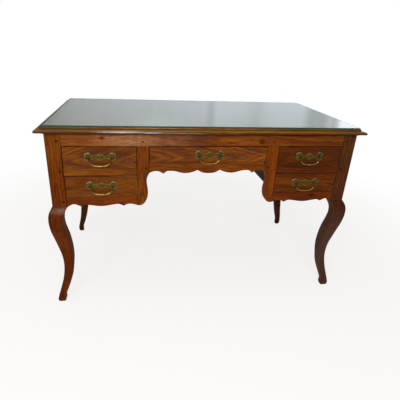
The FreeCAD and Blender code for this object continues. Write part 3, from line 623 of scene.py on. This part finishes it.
def oak(name, grain, heart, stain, taper=0.05, figure=1.0, gloss=0.42, shine=0.08, arches=None,
        patch=0.75, stretch=0.09, grime_and_shade=0.85, edges=None, knots=(), painted_light_and_marks=(), bands=None):
    """Waxed and stained oak. Rings lie about the heart at distance r = |across the grain| plus
    the taper times the way along it, so that a flat face shows arches, and a share of a ring
    tells early wood from late. Early wood has more pores, which make thin dark broken lines.
    Years, streaks and clouds along the grain add up to the tone, and the bump sinks the pores.
    With arches the pores are open and dusty, and arcs of them show, from full at the first x to
    faint at the second. Dirt sits at the edges and knots, and where a board lies under the top's
    nose its edge darkens with painted shadow. Bands tint by height, which on the moulding paints
    shade and light. Overlays of painted highlights, painted shade and plain marks lie flecked,
    with pores and knots showing through."""
    material, node = new_material(name)
    here = node("TexCoord", out="Object")
    seed = sum(map(ord, name.removeprefix("waxed_oak_"))) % 89 * NAME_STEP
    from_heart = node("VectorMath SUBTRACT", (here, np.array(heart) * MM))
    wood = node("Mapping", {"Vector": from_heart, "Rotation": TURN_TO_GRAIN[grain]})
    own = node("VectorMath ADD", (wood, (seed, 0, 0)))
    slow, fine, long = (node("Mapping", {"Vector": own, "Scale": (pull, 1, 1)})
                        for pull in (CLOUD_STRETCH, stretch, PORE_STRETCH))
    bend = node("TexNoise", (slow, BENDS_PER_METRE, 2.0), "Color")
    warp = node("VectorMath SUBTRACT", (bend, HALF))
    bent = node("VectorMath MULTIPLY_ADD", (warp, (BEND, BEND, BEND), wood))
    across = node("VectorMath MULTIPLY", (bent, (0, 1, 1)))
    radius = node("VectorMath LENGTH", (across,), "Value")
    radius = node("Math MULTIPLY_ADD", (node("SeparateXYZ", (bent,)), taper, radius))
    ring = node("Math MULTIPLY", (radius, 1 / (ARCH_SPACING if arches else RING_SPACING)))
    year = node("Math FRACT", (ring,))
    years = node("TexNoise", {"W": ring, "Scale": YEAR_CHANGE, "Detail": 1.0},
                 noise_dimensions="1D")
    streak = node("TexNoise", (fine, 1 / STREAK_WIDTH, 4.0, STREAK_ROUGHNESS))
    cloud = node("TexNoise", (slow, CLOUDS_PER_METRE, 3.0))
    pores = node("TexNoise", (long, 1 / PORE_WIDTH, 2.0))

    weights = ((years, YEAR_WEIGHT * figure), (streak, STREAK_WEIGHT), (cloud, patch))
    tone = PLAIN_AT - sum(weight for _, weight in weights) / 2
    for pattern, weight in weights:
        tone = node("Math MULTIPLY_ADD", (pattern, weight, tone))
    base = linear(stain)
    shade = node("ValToRGB", (tone,), stops=[
        (DARK_AT, toned(base, DARK_TONE)), (PLAIN_AT, base), (PALE_AT, toned(base, PALE_TONE))])
    more = node("MapRange", (year, *EARLY_WOOD, MORE_PORES * figure, FEWER_PORES))
    pit = node("MapRange", (node("Math ADD", (pores, more)), *PORE_LIMITS))
    if arches:
        place = node("SeparateXYZ", (here,))
        cells = node("Math ADD", (pores, cloud))
        arc = node("MapRange", (year, *ARCH_LIMITS))
        for part in (node("MapRange", (cells, *BROKEN_LIMITS)),
                     node("MapRange", (place, *np.array(arches) * MM, *FADED))):
            arc = node("Math MULTIPLY", (arc, part))
        pit = node("Math MAXIMUM", (pit, arc))
    pore = linear(DUST) if arches else toned(base, PORE_TONE)
    shade = node("Mix RGBA", (pit, shade, pore), 2)

    marks = [edge_dirt_and_shade(node, here, *edges, grime_and_shade)] if edges else []
    if knots:
        marks.append(oval_marks(node, here, knots, KNOT_CORE, KNOT_STRENGTH, KNOT_WAVE))
    if marks:
        dark = node("Math MAXIMUM", (marks[0], marks[-1]))
        shade = node("Mix RGBA", (dark, shade, toned(base, DIRT_AND_SHADE_TONE)), 2)
    if bands:
        low, high = bands[0][0], bands[-1][0]
        share = node("MapRange", (node("SeparateXYZ", (here,), "Z"), low, high))
        tint = node("ValToRGB", (share,),
                    stops=[((z - low) / (high - low), code) for z, code in bands])
        shade = node("Mix RGBA", (1.0, shade, tint), 2, blend_type="MULTIPLY")
    if painted_light_and_marks:
        flecks = node("MapRange", (streak, *FLECK_LIMITS))
        flecks = node("Math MULTIPLY_ADD", (pit, -PORE_IN_OVERLAY, flecks))
        if knots:
            clear = node("Math SUBTRACT", (1.0, marks[-1]))
            flecks = node("Math MULTIPLY", (flecks, clear))
    # Overlays, as each board lists them: painted highlights, painted shade and plain marks
    for *oval, overlay_colour, share in painted_light_and_marks:
        overlay = oval_marks(node, here, [oval], OVERLAY_CORE, share, OVERLAY_WAVE)
        overlay = node("Math MULTIPLY", (overlay, flecks))
        shade = node("Mix RGBA", (overlay, shade, linear(overlay_colour)), 2)

    height = node("Math SUBTRACT", (node("Math MULTIPLY", (streak, 0.5)), pit))
    node("OutputMaterial", {"Surface": node("BsdfPrincipled", {
        "Base Color": shade, "IOR": 1.5, "Specular IOR Level": shine,
        "Roughness": node("MapRange", (streak, *ROUGH_LIMITS, gloss - 0.06, gloss + 0.1)),
        "Normal": node("Bump", {"Height": height, "Strength": 0.25, "Distance": 0.4 * MM})})})
    return material


def unwaxed_oak(name, colour, gloss, shine):
    """Planed oak inside the desk, unstained and dull: greyed by age in the drawers, and browned
    by dust and candle smoke on the runners."""
    return oak(name, "y", (300, 20, 110), colour, figure=0.5, gloss=gloss, shine=shine,
               patch=0.3)


def speckled(name, speck, detail, stops, surface):
    """A finish whose colour runs between its stops in specks of one size."""
    material, node = new_material(name)
    noise = node("TexNoise", (node("TexCoord", out="Object"), 1 / speck, detail))
    colour = node("ValToRGB", (noise,), stops=stops)
    node("OutputMaterial", {"Surface": node("BsdfPrincipled", {"Base Color": colour, **surface})})
    return material


# End grain of riven oak pegs, nearly black with wax and dirt; and the ground edge of the glass,
# where its depth shows as bottle green: name, speck, detail, colours and surface
PEG_WOOD = ("dirty_end_grain", 1.2 * MM, 3.0, [(0.35, "#120904"), (0.65, "#24150b")],
            {"Roughness": 0.6, "Specular IOR Level": 0.1})
GREEN_EDGE = ("ground_glass_edge", 40 * MM, 2.0, [(0.3, "#103428"), (0.7, "#1c4c3a")],
              {"Roughness": 0.22, "IOR": 1.52})

# Brass, in metres and as shares of the plate's thickness: the rim, lighter from wear and as a
# painted highlight, and the bevel round it, pale where it faces up as a painted glint
TARNISH_PATCH = 9 * MM
TARNISH_LIMITS = (0.35, 0.68)
CASTING_GRIT = 0.8 * MM
RIM = (0.99, 0.965)
BEVEL = (0.93, 0.8)
PAINTED_BEVEL_GLINT = "#b4baa4"
UPWARD_LIMITS = (0.1, 0.6, 0.1, 0.6)
# Share of a bail's drop at each vertex, and where in the drop its dark top gives way
DROP = "drop"
DARK_TOP_LIMITS = (0.2, 0.85)
# Browned iron: its specks, and where over the plate the brass washer gives way to it
IRON_SPECK = 2 * MM
WASHER_LIMITS = (5.5 * MM, 4.0 * MM)


def aged_brass(name, bright, dull, gloss, rubbed=None, dark_top=None):
    """Cast yellow brass, handled for a century: brown tarnish in patches. On a plate the raised
    rim is lighter, partly from wear and partly as a painted highlight, and the bevel is pale where
    it faces up: a painted glint. On a bail the top is darker: its share of the drop comes from the
    mesh."""
    material, node = new_material(name)
    here = node("TexCoord", out="Object")
    patch = node("TexNoise", (here, 1 / TARNISH_PATCH, 5.0))
    grit = node("TexNoise", (here, 1 / CASTING_GRIT, 2.0))
    tarnish = node("MapRange", (patch, *TARNISH_LIMITS))
    colour = node("Mix RGBA", (tarnish, linear(bright), linear(dull)), 2)
    # The bail darkens towards its top
    if dark_top:
        drop = node("Attribute", out="Fac", attribute_name=DROP)
        below_top = node("MapRange", (drop, *DARK_TOP_LIMITS), interpolation_type="SMOOTHSTEP")
        colour = node("Mix RGBA", (below_top, linear(dark_top), colour), 2)
    # The rim is lighter, partly from wear and partly as a painted highlight; the bevel is pale
    # where it faces up, a painted glint
    if rubbed:
        depth = node("SeparateXYZ", (here,), "Y")
        rim, bevel = (node("MapRange", (depth, FRONT - low * PLATE_THICK,
                                        FRONT - high * PLATE_THICK, *ends))
                      for (low, high), ends in ((RIM, (1.0, 0.0)), (BEVEL, (0.0, 1.0))))
        upward = node("SeparateXYZ", (node("TexCoord", out="Normal"),), "Z")
        upward = node("MapRange", (upward, *UPWARD_LIMITS))
        bevel_glint = node("Math MULTIPLY", (bevel, upward))
        for share, layer in ((rim, rubbed), (bevel_glint, PAINTED_BEVEL_GLINT)):
            colour = node("Mix RGBA", (share, colour, linear(layer)), 2)
    node("OutputMaterial", {"Surface": node("BsdfPrincipled", {
        "Base Color": colour, "Metallic": 1.0,
        "Roughness": node("MapRange", (patch, *ROUGH_LIMITS, gloss, gloss + 0.22)),
        "Normal": node("Bump", {"Height": grit, "Strength": 0.12, "Distance": 0.15 * MM})})})
    return material


def browned_iron():
    """Browned iron of the handle posts, greasy and rubbed, dark red where it is thin, over a
    brass washer at the plate."""
    material, node = new_material("browned_iron")
    here = node("TexCoord", out="Object")
    speck = node("TexNoise", (here, 1 / IRON_SPECK, 3.0))
    dark = node("ValToRGB", (speck,), stops=[(0.35, "#21100c"), (0.65, "#43261d")])
    washer = node("MapRange", (node("SeparateXYZ", (here,), "Y"),
                               *[FRONT - over for over in WASHER_LIMITS]))
    colour = node("Mix RGBA", (washer, dark, linear("#6e5e2a")), 2)
    node("OutputMaterial", {"Surface": node("BsdfPrincipled", {
        "Base Color": colour, "Roughness": 0.4, "Metallic": 0.2})})
    return material


def clear_glass():
    """Polished float glass: it mirrors at a low angle, and lets the lamps through to the oak."""
    material, node = new_material("polished_float_glass")
    glass = node("BsdfPrincipled", {"Base Color": linear("#d4e6de"), "Roughness": 0.04,
                                    "IOR": 1.52, "Transmission Weight": 1.0})
    through = node("BsdfTransparent", {"Color": linear("#e6f0ea")})
    shadow = node("LightPath", out="Is Shadow Ray")
    node("OutputMaterial", {"Surface": node("MixShader", (shadow, glass, through))})
    return material


def carcass_boards():
    """Every flat board of the carcass: its node, outline, plane, the place of its face, its
    thickness and how far its edges are eased."""
    front = FRONT_PLANE, (0, FRONT, 0), RAIL_THICK
    back = BACK_PLANE, (0, BACK, 0), RAIL_THICK
    sunk = BACK_PLANE, (0, BACK - PANEL_RECESS, 0), PANEL_THICK
    kneehole = centre_bay_edge(CENTRE_HALF, CENTRE_LOW)
    end_edge = centre_bay_edge(BACK - POST, SIDE_LOW)
    rows = [("front_top_rail", rectangle((-POST_FACE, RAIL_FOOT), (POST_FACE, CARCASS)), *front,
             JOINT_LINE),
            ("front_apron_centre", under_top(kneehole, centre_high[2]), *front, ARRIS),
            ("back_panel_centre", under_top(kneehole, CARCASS), *sunk, ARRIS)]
    for name, side in SIDES.items():
        left, right = sorted([side * BAY_FACE, side * POST_FACE])
        bay = side_bay_edge(side)
        rows += [
            ("front_mid_rail_" + name, rectangle((left, MID_RAIL[0]), (right, MID_RAIL[1])),
             *front, JOINT_LINE),
            ("front_apron_" + name, under_top(bay, apron_high[2]), *front, ARRIS),
            ("front_muntin_" + name, muntin_outline(side, RAIL_FOOT), *front, ARRIS),
            ("back_muntin_" + name, muntin_outline(side, CARCASS), *back, ARRIS),
            ("back_panel_" + name, under_top(bay, CARCASS), *sunk, ARRIS),
            ("side_panel_" + name, under_top(end_edge, CARCASS),
             ((0, 1, 0), (0, 0, 1), (-side, 0, 0)), (side * (SIDE - PANEL_RECESS), 0, 0),
             PANEL_THICK, ARRIS)]
    return rows


def make_desk(oaks):
    """All pieces that stand for fixed nodes."""
    for name, side in SIDES.items():
        for place, depth_side, shares in (("front", -1, FRONT_LEG_SHARES),
                                          ("back", 1, BACK_LEG_SHARES)):
            node = "leg_" + place + "_" + name
            make_piece(node, [leg(shares, side, depth_side)], oaks[node], crease=60.0)
    laths = {"front_muntin_" + name: [draught_lath(side)] for name, side in SIDES.items()}
    for node, *shape in carcass_boards():
        make_piece(node, [board(*shape)] + laths.get(node, []), oaks[node])
    make_piece("desktop", [top_board()], oaks["desktop"])
    make_piece("glass_top", [glass_pane()], clear_glass(), "glass", rim=speckled(*GREEN_EDGE))
    places = np.concatenate([PEG_PLACES, PEG_PLACES * [-1, 1]])
    shells = [peg(x, z, PEG_RADIUS, 1.7 * i) for i, (x, z) in enumerate(places)]
    shells += [peg(x, z, NAIL_RADIUS, 0.9 * i) for i, (x, z) in enumerate(NAIL_PLACES)]
    make_piece("joint_pegs", shells, speckled(*PEG_WOOD), "peg")


def finish_node(node, material):
    """Gives a kept node one material."""
    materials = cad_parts[node].data.materials
    materials.clear()
    materials.append(material)


def make_handles():
    """Plates and bails, with each bail's share of its drop as an attribute, and iron posts."""
    # The plate's rim colour is partly a painted highlight
    plate_brass = aged_brass("aged_brass_plate", "#6a5c26", "#443c1a", 0.38, "#80743c")
    grip_brass = aged_brass("rubbed_brass_grip", "#b4a254", "#74642e", 0.2, dark_top="#40361c")
    iron = browned_iron()
    for name in DRAWERS:
        node = "handle_" + name
        make_piece(node + "_plate", [plate(name)], plate_brass, "brass", "drawer_" + name)
        grip = make_piece(node + "_bail", [bail(name)], grip_brass, "brass", "bail_" + name)
        places = np.empty(3 * len(grip.data.vertices))
        grip.data.vertices.foreach_get("co", places)
        drop = (handle_centre(name)[1] - places[2::3]) / BAIL_DROP
        grip.data.attributes.new(DROP, "FLOAT", "POINT").data.foreach_set("value", drop)
        finish_node(node + "_posts", iron)


# Where the muntins' dirt begins at the kneehole, and a side too far off for its dirt to show
KNEEHOLE_RIM = 235 * MM
CLEAN = 2.0

# Tints up the moulding: millimetres over the rails and colour. They give painted shadow on the
# bed under the nose, painted light on the thumb, which faces up, and on the fillet towards its
# arris, with a darker line where the thumb meets the fillet. Tints up a front leg, in metres:
# darker below the knee
MOULDING_SHADE_AND_LIGHT = [(0.0, "#382420"), (3.4, "#4c3228"), (4.0, "#80563c"), (8.5, "#8c6444"),
                  (12.0, "#a07a5c"), (15.5, "#d4d4b0"), (17.1, "#e0e4c8"), (17.5, "#806e5c"),
                  (22.0, "#d1bc9c"), (24.5, "#f4cea0")]
LEG_TINTS = [(0.0, "#d8bcb0"), (0.44, "#d0b0a0"), (0.47, "#e4c8a0"), (0.6, "#e8d2ac"),
             (0.7, "#f8f6f0")]

# One oak for each board: the way of its grain, where its heart lies in millimetres, its stain,
# and how its figure runs. Knots are (x, z, half width, half height) in millimetres, and each
# overlay adds its colour and share: overlays are painted highlights, painted shade and plain
# marks. Edges are left, low, right and high, in metres
BOARDS = {
    "desktop": ("x", (200, 100, 700), "#966c2c", dict(
        taper=0.03, gloss=0.32, shine=0.15, patch=0.3,
        # Overlays: the nose darker towards both ends; a painted highlight along the nose,
        # brightest on the left and dimmer and lower to the right; a painted highlight on the
        # fillet's arris; the fillet darker at its left corner
        painted_light_and_marks=[(-540, 757, 200, 20, "#33281f", 0.65), (600, 757, 160, 20, "#2a1c10", 0.35),
               (10, 756.2, 150, 3.6, "#806850", 0.6), (-120, 758, 120, 3.8, "#8c8480", 0.85),
               (-220, 759.7, 85, 4, "#a8a4aa", 0.9), (-335, 761.4, 105, 4.2, "#c4c8d8", 1.0),
               (-200, 773.5, 160, 2.4, "#c4b09c", 0.8), (-615, 774, 50, 7, "#2c2414", 0.8)],
        bands=[(z * MM + CARCASS, code) for z, code in MOULDING_SHADE_AND_LIGHT])),
    "front_top_rail": ("x", (100, -270, 700), "#733b0e", dict(
        # Its top edge darkens with painted shadow under the top's nose, its ends and foot with
        # dirt
        taper=0.04, edges=(-POST_FACE, RAIL_FOOT, POST_FACE, CARCASS),
        knots=[(205, 722, 18, 13), (84, 717, 26, 5), (490, 723, 14, 4), (-405, 735, 14, 8),
               (-405, 734, 9, 6)],
        # Overlays: three lighter patches on the left, a painted highlight; then a dark grey spot,
        # an orange patch and dark figure to the right
        painted_light_and_marks=[(-400, 727, 300, 150, "#a0602a", 0.4), (-180, 730, 160, 80, "#846c5c", 0.3),
               (-318, 727, 140, 80, "#b8926c", 0.42), (-50, 732, 60, 30, "#4c3830", 0.5),
               (80, 727, 55, 12, "#a05e20", 0.7), (480, 718, 120, 22, "#48240c", 0.5)])),
    "front_mid_rail_left": ("x", (400, -260, 580), "#78420c", dict(
        edges=(-POST_FACE, MID_RAIL[0], -BAY_FACE, CLEAN))),
    "front_mid_rail_right": ("x", (900, -270, 620), "#5e2802", dict(
        edges=(BAY_FACE, MID_RAIL[0], POST_FACE, CLEAN),
        # Overlays: a dark line along the top, painted shade of the gap under the drawer, and a
        # small grey spot
        painted_light_and_marks=[(360, 616, 100, 4.5, "#221a18", 1.0), (300, 614, 12, 3.5, "#463a30", 0.7)])),
    "front_apron_left": ("x", (-200, -280, 500), "#713202", dict(
        taper=0.08, edges=(-POST_FACE, -CLEAN, -BAY_FACE, CLEAN),
        knots=[(-345, 466, 22, 12)], painted_light_and_marks=[(-500, 485, 120, 35, "#481e04", 0.45)])),
    "front_apron_right": ("x", (700, -280, 450), "#632902", dict(
        taper=0.08, grime_and_shade=0.7, knots=[(455, 490, 26, 10)],
        edges=(BAY_FACE, -CLEAN, POST_FACE, SIDE_LOW + SIDE_APRON))),
    "front_apron_centre": ("x", (300, -280, 580), "#703908", dict(
        edges=(-CENTRE_HALF, -CLEAN, CENTRE_HALF, CLEAN),
        grime_and_shade=0.5, knots=[(229, 637, 9, 10)])),
    "front_muntin_left": ("z", (-262, -310, 560), "#6c3403", dict(
        taper=0.1, figure=1.6, grime_and_shade=0.6,
        edges=(-BAY_FACE, -CLEAN, -KNEEHOLE_RIM, CLEAN),
        painted_light_and_marks=[(-271, 505, 11, 36, "#4a2008", 0.45)])),
    "front_muntin_right": ("z", (240, -270, 500), "#763702", dict(
        stretch=0.45, figure=0.6, grime_and_shade=0.25,
        edges=(KNEEHOLE_RIM, -CLEAN, BAY_FACE, CLEAN))),
    "back_panel_centre": ("x", (300, 270, 660), "#5c300d", dict(taper=0.06, patch=0.45))}

# Boards that both sides have, with the heart's x for the right side
PAIRED_BOARDS = {
    "leg_back_": ("z", (550, 300, 300), "#411d06", dict(taper=0.02)),
    "side_panel_": ("y", (550, 100, 660), "#6c380e", dict(taper=0.06, patch=0.45)),
    "back_panel_": ("x", (300, 270, 600), "#5c300d", dict(taper=0.06, patch=0.45)),
    "back_muntin_": ("z", (250, 300, 500), "#5c300d", {}),
    # The kneehole panels' stain is far darker than the other panels': painted shade of the deep
    # kneehole
    "kneehole_panel_": ("y", (220, 100, 620), "#281b10", {})}

# Dirt round the pegs of a front leg, in millimetres, and the stain, shine and overlay of each
# front leg. The left one stands in the light: its stain, lighter than the right one's, is painted
# light, and its overlay a painted highlight on the knee. The right one's overlay is a painted
# grey sheen, a reflection, over the leg below the knee
PEG_HALO = 7.0
FRONT_LEGS = {
    "left": ("#6e3a08", 0.05, (-575, 448, 50, 18, "#8c7c74", 0.42)),
    "right": ("#542e0e", 0.12, (600, 220, 140, 240, "#4c3a34", 0.8))}

# Drawer fronts, with the millimetres under and over each at which its dirt begins
DRAWER_FRONTS = {
    "upper_left": (10.0, 0.0, (-305, -317, 645), "#6b3604", dict(
        taper=-0.34, figure=1.7, patch=1.0, arches=(-350, -420))),
    "lower_left": (1.5, 0.0, (-500, -270, 560), "#6a3808", dict(
        taper=0.03, figure=0.7,
        # Overlays: light lines along its foot, its top and its right edge, painted highlights on
        # the arrises
        painted_light_and_marks=[(-420, 505, 170, 2.6, "#806a50", 0.9), (-325, 586.2, 55, 2.4, "#907464", 0.9),
               (-281.2, 535, 2.4, 60, "#8a6c54", 0.8)])),
    "centre": (1.5, 0.0, (-190, -318, 659), "#723a05", dict(
        taper=0.26, figure=1.9, patch=1.0, arches=(-160, -60), knots=[(230, 640, 9, 9)])),
    "upper_right": (0.0, 1.5, (600, -270, 660), "#532702", dict(
        # Its overlay is a dark line along its foot, painted shade of the gap over the rail
        taper=0.03, figure=0.7, grime_and_shade=0.6, painted_light_and_marks=[(345, 619.5, 80, 4, "#221a18", 1.0)])),
    "lower_right": (1.3, 1.5, (250, -290, 500), "#5d2c02", dict(
        taper=0.08, figure=1.1, grime_and_shade=0.6,
        # Overlays: dark lines along its foot, painted shade of the gap over the apron
        painted_light_and_marks=[(312, 505.8, 50, 3.4, "#1c100a", 0.9), (470, 505.2, 80, 2.4, "#2c2018", 0.8)]))}


def oak_boards():
    """The oak of each board. A front post gathers dirt where it meets the rails, and darkens at
    its top with painted shadow under the top's nose.
    """
    boards = dict(BOARDS)
    for name, side in SIDES.items():
        for node, (grain, (x, y, z), stain, figure) in PAIRED_BOARDS.items():
            boards[node + name] = (grain, (side * x, y, z), stain, figure)
        stain, shine, overlay = FRONT_LEGS[name]
        left, right = sorted([side * POST_FACE, side * CLEAN])
        boards["leg_front_" + name] = ("z", (side * 500, -300, 300), stain, dict(
            taper=0.02, shine=shine, bands=LEG_TINTS, painted_light_and_marks=[overlay],
            # Dirt where the post meets the rails, and painted shadow at its top under the top's
            # nose
            edges=(left, -CLEAN, right, CARCASS),
            knots=[(side * x / MM, z / MM, PEG_HALO, PEG_HALO)
                   for x, z in PEG_PLACES[:POST_PEGS]]))
    for name, (under, over, heart, stain, figure) in DRAWER_FRONTS.items():
        node = "drawer_" + name + "_front"
        low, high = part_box(node)
        edges = (low[0], low[2] - under * MM, high[0], high[2] + over * MM)
        boards[node] = ("x", heart, stain, dict(figure, edges=edges))
    return {node: oak("waxed_oak_" + node, grain, heart, stain, **figure)
            for node, (grain, heart, stain, figure) in boards.items()}


def finish_kept_nodes(oaks):
    """Oak for the nodes that stay as the frame gives them."""
    for node, material in oaks.items():
        if node.startswith(("kneehole_panel", "drawer")):
            finish_node(node, material)
    inside = unwaxed_oak("bare_oak_inside", "#a5845a", 0.62, 0.1)
    for name in DRAWERS:
        for part in ("sides", "back", "bottom"):
            finish_node("drawer_" + name + "_" + part, inside)
    finish_node("drawer_runners", unwaxed_oak("dusty_oak_runners", "#5c4126", 0.66, 0.06))


# Camera: where it stands, where it looks and how it is turned
CAMERA_PLACE = (-0.2759, -1.5823, 1.068)
CAMERA_YAW = 0.1649
CAMERA_PITCH = 0.4044
CAMERA_ROLL = 0.0465
PICTURE = 400.0
FOCAL_PIXELS = 345.29
PRINCIPAL_PIXEL = (191.27, 190.13)
SENSOR = 36.0


def make_camera():
    """A camera that is rolled about its own axis, tipped down from the level, and turned right
    from the line of the depth."""
    turns = ((-CAMERA_YAW, "Z"), (math.pi / 2 - CAMERA_PITCH, "X"), (CAMERA_ROLL, "Z"))
    yaw, pitch, roll = (Matrix.Rotation(angle, 4, axis) for angle, axis in turns)
    data = bpy.data.cameras.new("photograph")
    data.sensor_width = SENSOR
    data.lens = SENSOR * FOCAL_PIXELS / PICTURE
    data.shift_x = (PICTURE / 2 - PRINCIPAL_PIXEL[0]) / PICTURE
    data.shift_y = (PRINCIPAL_PIXEL[1] - PICTURE / 2) / PICTURE
    camera = put_in_scene("photograph", data)
    camera.matrix_world = Matrix.Translation(CAMERA_PLACE) @ yaw @ pitch @ roll
    bpy.context.scene.camera = camera


# Far wall and windows that the glass mirrors, from left to right: degrees from the line of the
# depth, and radiance. The ceiling takes over between the two heights of a unit vector
SKY = [(-60, 0.36), (-20, 0.2), (-14.5, 0.21), (-13, 0.37), (-11.5, 0.46), (-10, 0.56),
       (-7, 0.65), (-1, 0.79), (6, 0.9), (11.3, 0.98), (11.7, 0.76), (12.5, 0.78), (12.9, 1.08),
       (17, 1.04), (19.6, 0.87), (21.5, 1.09), (26.5, 1.09), (27.8, 0.68), (30, 0.64),
       (30.8, 1.0), (31.6, 0.75), (32.4, 2.3), (38, 2.3), (40, 0.36)]
SKY_PEAK = 2.4
SKY_COLOUR = (0.76, 0.87, 1.0)
CEILING_COLOUR = (0.42, 0.4, 0.36)
CEILING_LIMITS = (0.48, 0.6)
ROOM_STRENGTH = 0.31

# Floor: its half width, and where its shading gives way to plain white and how white it starts
FLOOR_REACH = 14.0
WHITE_LIMITS = (0.9, 2.2, 0.78, 1.0)

# Lamps: place, target, size, watts, colour, and whether the glass and brass mirror it
LAMPS = {
    "front_window": ((-1.5, -3.1, 2.3), (-0.3, -0.3, 0.5), (1.7, 1.4), 57, "#fff2e0", True),
    "front_pane": ((-0.35, -3.3, 2.6), (-0.3, -0.34, 0.7), (0.9, 0.9), 32, "#fff6ea", True),
    "ceiling": ((-0.4, -0.4, 3.6), (0, 0, 0.4), (3.0, 3.0), 38, "#ffffff", False)}


def make_lamps():
    """Soft rectangular lamps: a window to the left, one in front, and a weak ceiling light."""
    for name, (place, target, size, power, colour, mirrored) in LAMPS.items():
        data = bpy.data.lights.new(name, "AREA")
        data.shape = "RECTANGLE"
        data.size, data.size_y = size
        data.energy = power
        data.color = linear(colour)[:3]
        lamp = put_in_scene(name, data)
        lamp.location = place
        aim = Vector(target) - Vector(place)
        lamp.rotation_euler = aim.to_track_quat("-Z", "Y").to_euler()
        lamp.visible_glossy = lamp.visible_transmission = mirrored


def seen_plainly(node):
    """One for a ray that comes from the camera, straight or through the glass."""
    return node("Math MAXIMUM", [node("LightPath", out=kind)
                                 for kind in ("Is Camera Ray", "Is Transmission Ray")])


def make_floor():
    """A pale floor that keeps the shadow, and turns plain white some way off."""
    mesh = bpy.data.meshes.new("pale_floor")
    corners = rectangle((-FLOOR_REACH, -FLOOR_REACH), (FLOOR_REACH, FLOOR_REACH))
    mesh.from_pydata([(x, y, 0) for x, y in corners], [], [(0, 1, 2, 3)])
    floor = put_in_scene("pale_floor", mesh)
    material, node = new_material("matt_white_floor")
    matt = node("BsdfPrincipled", {"Base Color": linear("#f6f6f5"), "Roughness": 0.9,
                                   "Specular IOR Level": 0.1})
    away = node("VectorMath LENGTH", (node("TexCoord", out="Object"),), "Value")
    far = node("MapRange", (away, *WHITE_LIMITS), interpolation_type="SMOOTHSTEP")
    share = node("Math MULTIPLY", (far, seen_plainly(node)))
    white = node("Emission", (linear("#ffffff"), 1.0))
    node("OutputMaterial", {"Surface": node("MixShader", (share, matt, white))})
    mesh.materials.append(material)


def make_room():
    """White surroundings, and a soft room light. What the glass mirrors is a wall with windows,
    by the turn atan2(x, y), under a grey ceiling."""
    world = bpy.data.worlds.new("white_room")
    bpy.context.scene.world = world
    world.use_nodes = True
    world.node_tree.nodes.clear()
    node = partial(add, world.node_tree)
    x, y, z = (node("SeparateXYZ", (node("TexCoord", out="Generated"),), axis) for axis in "XYZ")
    first, last = SKY[0][0], SKY[-1][0]
    turn = node("Math ARCTAN2", (x, y))
    share = node("MapRange", (turn, math.radians(first), math.radians(last)))
    wall = node("ValToRGB", (share,),
                stops=[((degrees - first) / (last - first),
                        toned(SKY_COLOUR, [radiance / SKY_PEAK] * 3))
                       for degrees, radiance in SKY])
    overhead = node("MapRange", (z, *CEILING_LIMITS))
    ceiling = toned(CEILING_COLOUR, [1 / SKY_PEAK] * 3)
    mirrored = node("Mix RGBA", (overhead, wall, ceiling), 2)
    sky, soft, white = (node("Background", light) for light in (
        (mirrored, SKY_PEAK), (linear("#fff3e2"), ROOM_STRENGTH), (linear("#ffffff"), 1.0)))
    glossy = node("LightPath", out="Is Glossy Ray")
    room = node("MixShader", (glossy, soft, sky))
    node("OutputWorld", {"Surface": node("MixShader", (seen_plainly(node), room, white))})


oaks = oak_boards()
make_desk(oaks)
make_handles()
finish_kept_nodes(oaks)
make_camera()
make_floor()
make_room()
make_lamps()
bpy.context.scene.view_settings.view_transform = "Standard"
